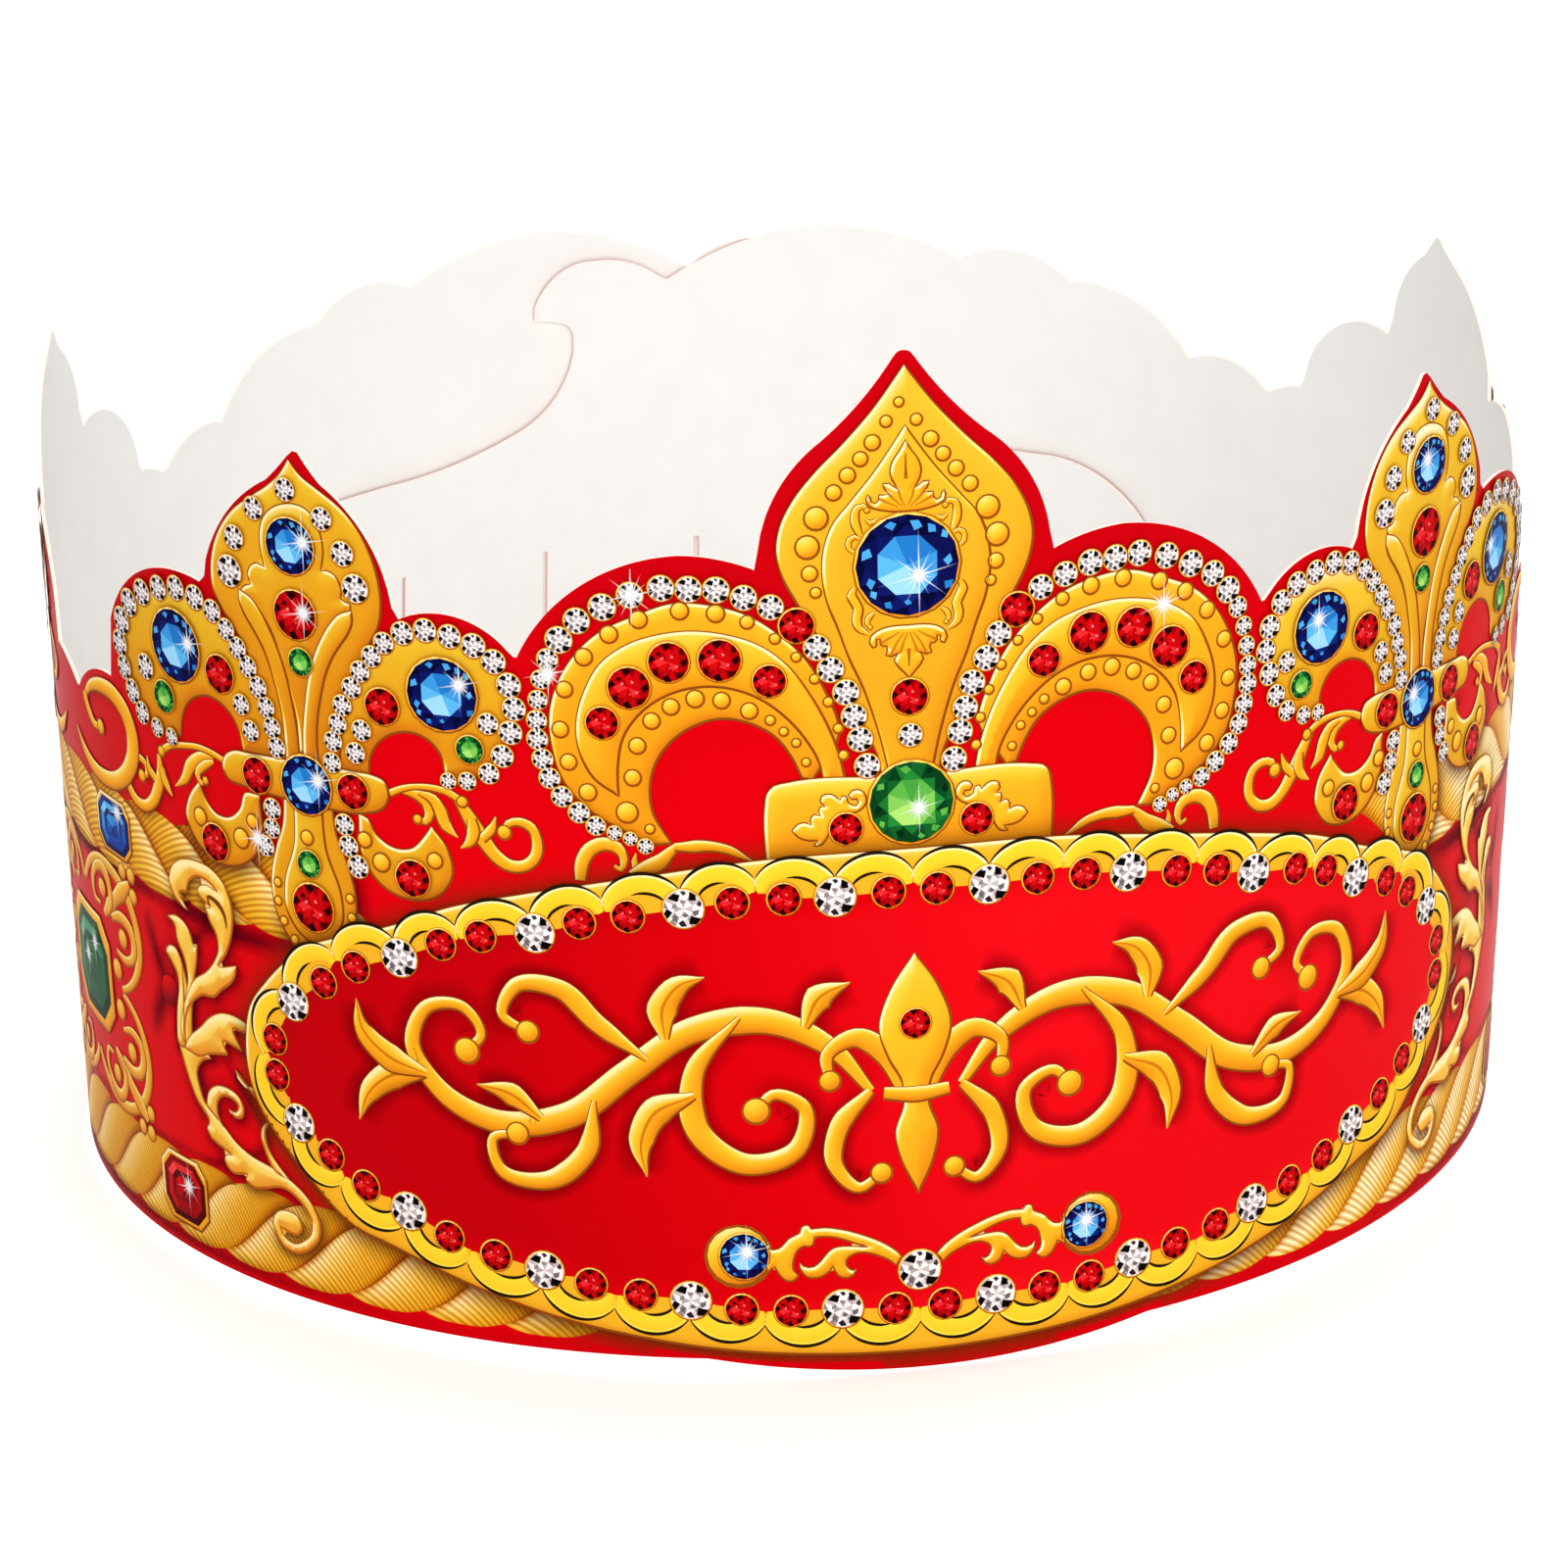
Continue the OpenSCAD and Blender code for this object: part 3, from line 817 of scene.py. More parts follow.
# Cut of each stone: its tones, the reach of its table, the tones in tenths of the 8 facets of its
# six rings, counted from the right, turning left, and marks on them (angle, reach, size, tone)
cuts = {
    "white": {
        "tones": white,
        "table": 0.5,
        "facets": [
            (9, 6, 10, 5, 9, 7, 10, 6), (5, 9, 7, 10, 4, 9, 6, 10), (10, 4, 9, 6, 10, 5, 7, 9),
            (6, 10, 5, 9, 7, 10, 4, 9), (9, 5, 10, 6, 8, 4, 10, 7), (7, 10, 6, 4, 9, 10, 5, 9),
        ],
        "marks": [
            (128, 0.66, 0.32, 0), (90, 0.8, 0.17, 2), (56, 0.72, 0.28, 0), (20, 0.8, 0.18, 2),
            (-16, 0.6, 0.22, 3), (-46, 0.74, 0.34, 0), (-92, 0.74, 0.24, 1), (-128, 0.62, 0.2, 3),
            (-160, 0.76, 0.28, 0), (165, 0.42, 0.18, 4), (-70, 0.3, 0.18, 3), (96, 0.34, 0.16, 4),
        ],
    },
    "ruby": {
        "tones": ruby,
        "table": 0.5,
        "facets": [
            (6, 7, 5, 8, 7, 5, 8, 6), (6, 7, 5, 8, 6, 5, 7, 6), (5, 6, 4, 6, 7, 4, 6, 5),
            (5, 4, 6, 5, 4, 6, 4, 5), (3, 5, 2, 5, 4, 3, 5, 3), (4, 2, 5, 3, 5, 4, 2, 4),
        ],
        "marks": [
            (100, 0.74, 0.24, 0), (40, 0.8, 0.2, 1), (0, 0.7, 0.24, 0), (-50, 0.8, 0.24, 1),
            (-95, 0.8, 0.26, 0), (-140, 0.8, 0.22, 1), (170, 0.8, 0.22, 0), (140, 0.6, 0.16, 1),
            (60, 0.3, 0.09, 9.4), (-30, 0.42, 0.1, 9.2), (-80, 0.3, 0.07, 9), (150, 0.35, 0.09, 9.4),
            (-160, 0.5, 0.07, 9),
        ],
    },
    "sapphire": {
        "tones": sapphire,
        "table": 0.62,
        "facets": [
            (6, 6, 7, 8, 9, 9, 8, 7), (1, 2, 2, 1, 2, 3, 3, 2), (1, 0, 0, 1, 2, 0, 1, 1),
            (1, 0, 1, 1, 0, 2, 0, 1), (0, 1, 1, 0, 0, 1, 2, 0), (1, 0, 1, 0, 1, 0, 1, 1),
        ],
        "marks": [
            (78, 0.78, 0.14, 7.4), (56, 0.82, 0.12, 7.2), (38, 0.9, 0.1, 7.8), (112, 0.83, 0.12, 7),
            (163, 0.8, 0.14, 7.6), (205, 0.76, 0.12, 7.2), (220, 0.84, 0.1, 7.8), (244, 0.84, 0.1, 6.4),
            (270, 0.72, 0.08, 7), (4, 0.77, 0.12, 7.6), (-28, 0.88, 0.12, 6.2),
        ],
    },
    "emerald": {
        "tones": emerald,
        "table": 0.6,
        "facets": [
            (7, 6, 7, 8, 9, 9, 8, 8), (4, 5, 3, 4, 5, 4, 6, 5), (2, 1, 4, 2, 1, 3, 2, 4),
            (1, 3, 1, 2, 3, 1, 3, 1), (3, 1, 2, 3, 1, 2, 1, 3), (1, 3, 2, 1, 3, 1, 3, 2),
        ],
        "marks": [
            (100, 0.8, 0.14, 6.6), (60, 0.85, 0.1, 0), (150, 0.82, 0.12, 7), (190, 0.78, 0.12, 0),
            (215, 0.84, 0.1, 7.4), (250, 0.78, 0.13, 0), (285, 0.85, 0.1, 6.6), (-20, 0.8, 0.13, 7),
            (20, 0.82, 0.12, 0), (-50, 0.84, 0.12, 6.4),
        ],
    },
}


# Stone in a thin gold setting: facets of one tone each, and dark or bright marks among them
def stone(kind, s, z, r, layer=paint["stoneLayer"]):
    cut = cuts[kind]
    tones = cut["tones"]
    middle = np.array([s, z])
    turn = np.linspace(0, 2 * math.pi, 19)
    direction = np.stack([np.cos(turn), np.sin(turn)], -1)
    collar = 0.1 + 0.04 * r
    edge = (r + collar * np.array([-0.4, 0.5, 0.52, 1.0])[:, None])[..., None]
    tone = 0.68 + 0.24 * (direction @ light) + np.array([0, 0, -0.5, -0.5])[:, None]
    ink = ramp(gold, np.clip(tone, 0.12, 1).ravel())
    lay("stones", middle + edge * direction, ink, gridFaces(4, 19), layer)
    points, facets = stoneFacets(cut["table"])
    tone = np.repeat(np.array(cut["facets"]).ravel() / 10, 3)
    lay("stones", middle + (r - 0.04) * points[facets.ravel()], ramp(tones, tone),
        np.arange(len(tone)).reshape(-1, 3), layer + 1)
    angle, reach, size, tone = np.array(cut["marks"]).T
    angle = np.radians(angle)
    way = np.stack([np.cos(angle), np.sin(angle)], -1)
    side = np.stack([-way[:, 1], way[:, 0]], -1) * size[:, None]
    inner, outer = (way * (reach + k * size)[:, None] for k in (-0.7, 0.8))
    corners = [inner, way * reach[:, None] - side, outer - 0.3 * side, outer * 0.96 + 0.9 * side]
    places = middle + r * np.stack(corners, 1).reshape(-1, 2)
    faces = np.array([[0, 1, 2], [0, 2, 3]]) + 4 * np.arange(len(angle))[:, None, None]
    lay("stones", places, ramp(tones, np.repeat(tone / 10, 4)), faces.reshape(-1, 3), layer + 2)


def stones(kind, rows):
    for row in rows:
        stone(kind, *row)


strand = {
    "grid": 13,  # points along and across
    "reach": 6.5,  # mm that it leans to each side of its middle
    "round": 1.42,  # radians from the rope's middle line to its edge, as round a tube
    "waist": 0.17,  # share by which its two sides are lower than its middle
    "bow": 0.03,  # of its yarns, mm upwards for each square mm from its middle
}
ropeKinds = {
    "lower": {
        "start": 30,  # mm from the front, under the cartouche
        "middle": 6.7,  # mm above the strip's bottom edge
        "half": 5.2,  # mm, half its height
        "shadow": 5.5,  # mm from its middle down to its shadow
        "pitch": 10.0,  # mm from strand to strand
        "slant": 1,  # the strands rise to the right, or with -1 to the left
        "yarnTurn": 52,  # degrees that the yarns are turned from the rope's length
        "yarnWidth": 1.15,  # in widths of the yarn in the ink
        "layer": 2,
    },
    "upper": {
        "start": 62, "middle": 48.2, "half": 5.0, "shadow": 5.5, "pitch": 11.0, "slant": -1,
        "yarnTurn": 22, "yarnWidth": 1.4, "layer": 3,
    },
}


# Rope of strands from the place first rightwards. Each strand is a wave in height over a grid.
# Across it the tone falls from its lower end to the dark gap at the next. The strand attribute
# counts across the yarns.
def rope(first, count, kind):
    pitch, slant, turn = kind["pitch"], kind["slant"], math.radians(kind["yarnTurn"])
    grid = strand["grid"]
    u, v = np.meshgrid(np.linspace(0, 1, grid), np.linspace(-1, 1, grid), indexing="ij")
    z = kind["half"] * np.sin(v * strand["round"]) / math.sin(strand["round"])
    z = z * (1 - strand["waist"] * np.abs(2 * u - 1)**3)
    along = pitch * u + slant * strand["reach"] * v
    share = u if slant > 0 else 1 - u
    # painted light: the strands on the right side are lifted
    tone = 1.0 + 1.4 * paint["rightPaintedLight"] * (first > 0) - 0.5 * share**1.2 - 0.26 * np.abs(v)**4
    tone = tone - 0.5 * smoothStep((share - 0.84) / 0.16) - 0.56 * smoothStep((0.09 - share) / 0.09)
    ink = ramp(ropeGold, np.clip(tone, 0, 1).ravel())
    yarn = z * math.cos(turn) + slant * along * math.sin(turn) + strand["bow"] * (along - 5)**2
    yarn = yarn.ravel() / kind["yarnWidth"]
    for k in range(count):
        places = np.stack([first + pitch * k + along, z + kind["middle"]], -1)
        lay("ropes", places, ink, gridFaces(grid, grid), kind["layer"] + 0.3 * (k % 2), yarn)


# Star of 14 slender rays of uneven lengths that fade outwards from a soft glow
def sparkle(s, z, reach):
    layer = paint["glintLayer"]
    middle = np.array([s, z])
    turn = np.linspace(0, 2 * math.pi, 17)
    glow = np.array([0.02, 0.3, 0.65, 1.1])
    places = middle + glow[:, None, None] * np.stack([np.cos(turn), np.sin(turn)], -1)
    cover = np.repeat([1, 0.9, 0.3, 0], 17)
    lay("glints", places, linear("FFFFFF"), gridFaces(4, 17), layer, None, cover)
    share = np.array([0, 0.3, 0.65, 1])[:, None, None]
    half = 0.13 * (1 - share) + 0.02
    cover = np.array([1, 0.8, 0.4, 0])[:, None] * np.array([0.2, 1, 0.2])
    lengths = 2 * (1.0, 0.45, 0.7, 0.35, 0.85, 0.5, 0.6)
    for k, length in enumerate(lengths):
        angle = math.radians(360 / len(lengths) * k + 90)
        way = np.array([math.cos(angle), math.sin(angle)])
        aside = np.array([-way[1], way[0]])
        places = middle + way * reach * length * share + aside * half * np.array([-1, 0, 1])[:, None]
        level = layer + 0.2 + 0.02 * k
        lay("glints", places, linear("FFFFFF"), gridFaces(4, 3), level, None, cover.ravel())


# Soft dark strip: cast along the far side of a closed outline or all round it, or on both
# sides of an open line. Each lies a little over the last.
def shadow(line, width, depth, layer, closed=True, around=0.0, colour=paint["shadow"]):
    if closed:
        outward = outwards(line)
        fade = depth * np.maximum(smoothStep((0.45 - outward @ light) / 0.9), around)
        reach = np.array([-0.4, 0.1, 0.3 * width, 0.65 * width, width])
        share = np.array([1, 1, 0.55, 0.18, 0])
        line, outward, fade = (np.concatenate([v, v[:1]]) for v in (line, outward, fade))
    else:
        outward = across(line, False)
        fade = depth * np.sin(np.linspace(0, math.pi, len(line)))**0.7
        reach = width * np.array([-0.5, -0.22, 0, 0.22, 0.5])
        share = np.array([0, 0.45, 1, 0.45, 0])
    places = line[:, None] + outward[:, None] * reach[:, None]
    cover = (fade[:, None] * share).ravel()
    laid = len(sheets["shadows"]["faces"]) if "shadows" in sheets else 0
    layer += 0.02 * (laid % 40)
    lay("shadows", places, linear(colour), gridFaces(len(line), 5), layer, None, cover)


fleur = {
    "axis": -68.2,  # mm, middle line of the left side fleur
    "tip": 99.0,  # and the height of its tip
    "thirdShift": -83.5,  # the third fleur of each half: further back, smaller and lower
    "thirdSize": 0.9,
    "thirdDrop": 5.8,
}


# Moves rows drawn on the left half, shrunk about the fleur's tip. The turn -1 mirrors them to
# the right half.
def mover(turn=1, shift=0.0, size=1.0, drop=0.0):
    def move(rows):
        out = []
        for row in rows:
            s = (row[0] - fleur["axis"]) * size + fleur["axis"] + shift
            z = (row[1] - fleur["tip"]) * size + fleur["tip"] - drop
            out.append((turn * s, z, *(v * size for v in row[2:])))
        return out
    return move


# Centre fleur: left halves of its outlines, (s, z) or (s, z, 1) at a corner, and beads and stones
# (s, z, radius)
centrePetal = [
    (0, 111.5, 1), (-3.5, 106.8), (-6.5, 103.5), (-10, 100), (-12, 97.5), (-13.5, 94.5), (-13.9, 92),
    (-13.3, 89), (-11.8, 86), (-10, 82.8), (-8.5, 80), (-6.8, 76.5), (-5.5, 73.5), (-4.5, 71),
    (-3.5, 68.5), (-3, 65, 1),
]
innerLeaf = [
    (0, 105, 1), (-3.5, 100), (-6, 97), (-8, 94.5), (-8.9, 92), (-9.1, 89), (-8.6, 86), (-7.5, 83),
    (-6.3, 79.5), (-5, 76.5), (-4, 73.5), (-3.3, 71), (-2.2, 66, 1),
]
petalBeads = [
    (-2, 105.5, .7), (-3.5, 103.3, .9), (-4.8, 101.6, .85), (-6.2, 99.9, .9), (-7.7, 98.1, .9),
    (-9.6, 95.4, 1.3), (-10.6, 92.3, 1.3), (-10.4, 89.4, .9), (-9.8, 87.3, .65),
]
wideLobe = [
    (-10.5, 66.5, 1), (-7.5, 72), (-8.75, 76), (-11, 80), (-14, 83), (-17, 85), (-21, 86.2),
    (-25, 86.4), (-29, 85), (-33, 83), (-36, 80), (-37.7, 77), (-38.6, 73.5), (-38.4, 70), (-37.2, 66),
    (-35, 63.5), (-31, 61), (-27, 59.5), (-25.7, 59.7, 1), (-26.5, 61), (-27.5, 63), (-27.8, 66),
    (-27.2, 68.5), (-25.5, 71), (-23, 72.8), (-20, 73.6), (-17, 73), (-14.5, 71.5), (-12.7, 69),
    (-11.7, 66.8, 1),
]
lobeCrescent = [
    (-31.2, 64.8, 1), (-34, 66.8), (-35.5, 70), (-35.6, 73.5), (-34.7, 76.5), (-33, 79.5), (-30, 81.8),
    (-26.5, 83), (-23, 83.4), (-19.5, 83), (-16, 81.8), (-13, 79.5), (-10.5, 76), (-8.7, 72.5),
    (-7.5, 69), (-7, 66.5, 1), (-9.4, 66.5, 1), (-9.7, 68), (-11.2, 71), (-13.5, 73.8), (-16.5, 76),
    (-19.5, 77), (-22.5, 77.1), (-25.5, 76.3), (-28.5, 74.3), (-30.5, 71.5), (-31.2, 68),
]
lobeBeads = [
    (-28, 61.3, .6), (-30.4, 63.1, 1.2), (-34.6, 65.2, 1), (-36.6, 68.5, .95), (-37.4, 72.1, .95),
    (-36.8, 76.6, .95), (-34.6, 80.3, 1), (-31.8, 82.9, 1), (-28.6, 84.6, 1), (-24.2, 85.6, 1),
    (-20.4, 85.3, 1), (-17.1, 84.3, .8), (-14.2, 82.4, .65), (-12, 80.3, .6), (-10.1, 77.8, .6),
    (-8.7, 75.2, .6), (-7.7, 72.2, .6), (-7.2, 69.2, .6), (-29.7, 67, .95), (-29.1, 70.6, .95),
    (-27.5, 73.4, .95), (-25.4, 75, .95), (-22.8, 75.9, 1), (-20, 75.7, .95), (-17.1, 74.5, .95),
    (-14.9, 73.4, .6), (-13.5, 72.1, .55), (-12.2, 70.8, .55), (-11.2, 68.6, .55),
]
lobeRubies = [
    (-32.8, 73.1, 1.8), (-29.8, 77.1, 2.3), (-25.5, 80, 2.2), (-20.1, 80.2, 2.3), (-14.9, 77.8, 1.8),
    (-11.9, 83.8, 1.9), (-7.1, 61, 1.8),
]
lobeChain = [
    (-28.5, 59.4, .85), (-30.1, 60.2, .75), (-31.8, 60.8, .8), (-33.8, 61.5, 1.05), (-35.6, 62.9, 1.15),
    (-37.4, 64.6, 1.15), (-38.7, 66.6, 1.15), (-39.4, 68.7, 1.15), (-39.9, 70.9, 1.15),
    (-39.9, 73, 1.1), (-39.7, 75.3, 1.05), (-39.3, 77.6, 1.05), (-38.5, 79.9, 1.15),
    (-37.2, 82.1, 1.45), (-35.2, 84.3, 1.4), (-32.4, 85.9, 1.45), (-29.4, 87.3, 1.4),
    (-26.1, 88.1, 1.4), (-23.2, 88, 1.4), (-20.3, 87.9, 1.4), (-17.4, 87, 1.35), (-14.6, 85.9, 1.35),
    (-9.8, 81.3, 1.4), (-8.4, 78.8, 1.4), (-6.8, 76.2, 1.4), (-6, 73.5, 1.35), (-5.4, 70.9, 1.35),
    (-4.7, 67.9, 1.35),
]


# Palmettes over and under the big stone: half outlines of the buds, then curls with line, widths
# and radius of the end ball, and veins
lowBud = [
    (0, 77.3, 1), (-0.7, 78.1), (-1.3, 78.8), (-1.6, 79.4), (-1.3, 80), (-0.9, 80.2, 1), (-1.4, 80),
    (-1.9, 79.8), (-2.5, 80, 1), (-2.3, 80.6), (-2.4, 81, 1), (-2.8, 81), (-3.1, 81.3), (-3.1, 81.8, 1),
    (-3.4, 81.8), (-3.4, 81.3), (-3.5, 81), (-3.9, 80.9), (-4.2, 81.5), (-4.1, 82.1), (-3.6, 82.6),
    (-2.8, 83), (-1.6, 83.2), (0, 83.2),
]
highBud = [
    (0, 103.4, 1), (-0.7, 102.2), (-1.4, 101.2), (-1.7, 100.2), (-1.5, 99.1), (-0.8, 98, 1),
    (-1.3, 98.4), (-1.8, 98.8), (-2.5, 98.8, 1), (-2.3, 98.1), (-1.9, 97.7, 1), (-2.4, 97.6),
    (-2.9, 97.6), (-3, 97, 1), (-3.3, 96.7), (-3.7, 96.9), (-3.8, 97.4), (-4.1, 97.7), (-4.3, 97.3),
    (-4.2, 96.7), (-3.7, 96.2), (-2.8, 95.9), (-1.8, 95.7), (0, 95.6),
]
palmetteCurls = [
    ([(-5, 93.4), (-5.4, 94.4), (-5.5, 95.4), (-5.2, 96.3), (-4.6, 96.5), (-4.2, 96)],
      (0.7, 1.1, 1.1, 1.0, 0.8, 0.6), 0.35),
    ([(-3.2, 94.9), (-3.9, 94.6), (-4.4, 95.1)], (0.5, 0.7, 0.3), 0),
    ([(-5.1, 93), (-5.6, 93.2), (-6.1, 92.9), (-6.2, 92), (-5.7, 91.5)], (0.5, 0.7, 0.8, 0.7, 0.5), 0),
    ([(-5.7, 87.6), (-6, 86.8), (-5.7, 86.1), (-5.3, 85.2), (-5.5, 84.2), (-5.3, 83.2), (-4.7, 82.7),
      (-4.2, 82.4)], (0.6, 1.2, 1.2, 1.2, 1.2, 1.1, 0.8, 0.3), 0),
    ([(-3.6, 84.8), (-4.2, 84.3), (-4.4, 83.6), (-4.1, 83.2)], (0.4, 0.8, 0.7, 0.5), 0.3),
]
veins = [
    [(-0.8, 98), (-0.6, 97.1), (-0.1, 96.2)], [(-1.9, 97.7), (-1.3, 97), (-0.4, 96.2)],
    [(-2.9, 97.2), (-2, 96.7), (-0.9, 96.2)], [(-0.9, 80.2), (-0.6, 81.2), (-0.1, 82.4)],
    [(-1.9, 80), (-1.4, 81.1), (-0.5, 82.4)], [(-3, 81.4), (-2, 81.9), (-1, 82.5)],
    [(-0.1, 99.2), (0, 100.6), (0, 102)], [(-0.1, 80.6), (0, 79.6), (0, 78.6)],
]
# Half of the plate under the petal and the leaf on it
plate = [(0, 66.4, 1), (-13.4, 66.4), (-14.7, 66.1), (-15.5, 65.2), (-15.7, 64), (-15.6, 56, 1)]
plateLeaf = [
    (-12.9, 61, 1), (-12.3, 61.7), (-11.5, 61.9), (-10.8, 61.6, 1), (-10.9, 62.3), (-10.5, 62.8),
    (-9.8, 62.5, 1), (-10, 63.1), (-9.8, 63.6), (-9.3, 63.6, 1), (-9.8, 64.1), (-9.7, 64.7), (-9, 65),
    (-8.3, 64.8), (-7.7, 64.2, 1), (-7.5, 64.7), (-7, 64.6), (-6.8, 63.9, 1), (-6, 63.5), (-5.7, 63.9),
    (-5.9, 64.2), (-6.4, 64.2), (-6.8, 64.7), (-6.4, 65.2), (-5.6, 65.3), (-5, 64.8), (-4.8, 63.9),
    (-5.3, 63.1), (-6.1, 62.7), (-7.4, 62.4), (-8.4, 61.6), (-9, 60.3), (-9.7, 59.3), (-10.6, 59.2),
    (-10.2, 59.8, 1), (-11.1, 59.8), (-12.2, 60.2),
]


def centreFleur():
    for turn in (1, -1):
        side = mover(turn)
        raised("fleurs", side(wideLobe), 11, fall=0.12, bevel=1.8, base=0.6, lit=0.24)
        raised("fleurs", side(lobeCrescent), 13, bevel=2.6, base=0.66, lit=0.22, fall=0.08)
        beads("fleurs", side(lobeBeads), 15, base=0.71)
    raised("fleurs", symmetric(plate), 16, bevel=2.4, base=0.62, lit=0.22, fall=0.2)
    raised("fleurs", symmetric(centrePetal), 17, tones=fleurGold, fall=0.2, bevel=2.4, base=0.68, lit=0.22)
    raised("fleurs", symmetric(innerLeaf), 19, tones=fleurGold, bevel=2.2, fall=0.16, base=0.67, lit=0.22)
    for bud in (lowBud, highBud):
        raised("fleurs", symmetric(bud), 22, paint["thinLine"], bevel=0.8, base=0.68, lit=0.22, cell=0.25)
    for turn in (1, -1):
        side = mover(turn)
        for rows, widths, ball in palmetteCurls:
            stroke("fleurs", side(rows), widths, 21, base=0.7, ball=ball)
        for rows in veins:
            penLine("fleurs", side(rows), (0.3, 0.2, 0.1), 24, gold, 0.36)
        raised("fleurs", side(plateLeaf), 19, paint["thinLine"], bevel=0.8, base=0.7, lit=0.22, cell=0.25)
        stones("white", side(lobeChain))
        stones("ruby", side(lobeRubies))
    topBead = [(-0.6, 107.5, .6)]
    beads("fleurs", petalBeads + mirrored(petalBeads, -0.38) + topBead, 20, base=0.72)
    stone("sapphire", 0, 89.8, 5.6)
    stone("ruby", 0, 75.3, 2)
    stone("white", 0, 71, 1.3)
    stone("emerald", 0, 63.5, 4.6)


# Side fleurs, drawn as the left one
sidePetal = [
    (-68.3, 99, 1), (-69.4, 97.4), (-71.4, 95.6), (-74.2, 93.8), (-76.6, 92), (-78.6, 89.7),
    (-79.9, 87.2), (-80.5, 84.4), (-80.3, 82.2), (-79.4, 80.6), (-77.6, 78.6), (-75.8, 76),
    (-74.4, 72.8), (-73.4, 69), (-72.9, 64, 1), (-63.8, 64, 1), (-63.1, 69), (-62.3, 72.8), (-61, 76),
    (-59.4, 79), (-57.9, 81.5), (-57.4, 83.8), (-57.5, 86.4), (-58.2, 89.2), (-59.8, 92.2), (-62, 94.5),
    (-64.6, 96.1), (-66.8, 97.4),
]
sideBody = [
    (-76.1, 83, 1), (-75.4, 83.7), (-74.5, 84, 1), (-74.9, 85.1), (-74.4, 86.1), (-73.5, 86.6),
    (-72.4, 86.3, 1), (-72.8, 88.2), (-72.8, 90.1), (-72.2, 91.9), (-70.9, 93.2), (-69.3, 93.9),
    (-67.9, 94.1), (-66.4, 93.8), (-65.2, 92.7), (-64.5, 91.1), (-64.3, 89.2), (-64.7, 87.1, 1),
    (-64, 87.2), (-63, 86.8), (-62.4, 85.9), (-62.2, 85), (-62.4, 84.3, 1), (-61.9, 84), (-61.2, 83.8),
    (-61.2, 83.1, 1), (-64.2, 80.2), (-65.7, 77.7), (-66.7, 74.8), (-67.2, 71.4), (-67.4, 65.6, 1),
    (-69, 65.6, 1), (-69.2, 69.9), (-69.8, 72.4), (-70.6, 75), (-71.3, 77.6), (-72.4, 79.8),
    (-73.9, 81.6),
]
sideLeaf = [
    (-76.3, 83.1, 1), (-76.4, 82), (-75.8, 80.4), (-74.6, 78.8), (-73.4, 77), (-72.5, 75),
    (-71.8, 72.6), (-71.2, 70), (-70.9, 64.4, 1), (-68.9, 64.4, 1), (-69.1, 68.6), (-69.6, 71.8),
    (-70.2, 74.6), (-71, 77), (-72.1, 79.2), (-73.4, 81.2), (-74.7, 82.5),
]
# The lobes' outer lines run under their rows of white stones
outerLobe = [
    (-73.2, 64.4, 1), (-72.4, 66.6), (-72.8, 69), (-73.8, 71.4), (-75.2, 73.8), (-77, 76.2),
    (-79.2, 78.6), (-81.8, 80.2), (-84.8, 80.9), (-88, 80.8), (-91.4, 79.7), (-94.6, 78), (-97, 75.6),
    (-98.1, 72.6), (-98, 70), (-97, 67.6), (-95.2, 65.4), (-92.6, 64), (-89.6, 63.4), (-87.6, 63.6, 1),
    (-87.1, 66), (-86, 67.8), (-84.3, 69), (-82.3, 69.5), (-80.4, 69.1), (-78.8, 68), (-77.8, 66.4),
    (-77.3, 64.2, 1),
]
innerLobe = [
    (-63.6, 64.6, 1), (-64.3, 66.6), (-63.9, 69.2), (-63.1, 71.8), (-61.8, 74.2), (-60.2, 76.6),
    (-58.4, 78.8), (-56, 80.8), (-53.4, 81.8), (-50.6, 81.8), (-47.8, 81), (-45.2, 79.6), (-43.4, 77.4),
    (-42.6, 75), (-42.7, 72.4), (-43.4, 69.8), (-44.8, 67.4), (-46.8, 66), (-49.2, 65.4),
    (-50.7, 65.2, 1), (-51, 67.6), (-51.9, 69), (-53.4, 69.9), (-55.3, 70.1), (-57.2, 69.5),
    (-58.6, 68.4), (-59.6, 66.8), (-59.9, 64.6, 1),
]
outerCrescent = [
    (-84.9, 59.2, 1), (-87, 56.8), (-87.8, 54.5), (-86, 51.5), (-82.5, 50), (-78, 51), (-75.5, 53.5),
    (-75.2, 59.6, 1), (-77.5, 59.4), (-78.4, 57.4), (-80.4, 55.9), (-82.6, 56), (-84.1, 57.4),
]
innerCrescent = [
    (-52.6, 59.8, 1), (-50.6, 57.2), (-50.2, 54.6), (-51.8, 52), (-55.4, 50.9), (-59, 52),
    (-61.2, 54.6), (-61.6, 60, 1), (-60.4, 59.6), (-59.4, 57.9), (-57.2, 56.7), (-55, 57),
    (-53.6, 58.4),
]
stemSkirt = [
    (-71.6, 60.5, 1), (-72, 57), (-73.2, 54), (-74.2, 50), (-73.6, 46), (-71.5, 43), (-68.2, 41.6),
    (-65, 43), (-63, 46), (-62.4, 50), (-63.3, 54), (-64.5, 57), (-64.9, 60.5, 1),
]
stemLeaf = [
    (-70.2, 60.5, 1), (-70.5, 55), (-72.2, 50), (-72.2, 47), (-70.5, 44.5), (-68.3, 43.6), (-66, 44.5),
    (-64.3, 47), (-64.3, 50), (-66, 55), (-66.3, 60.5, 1),
]
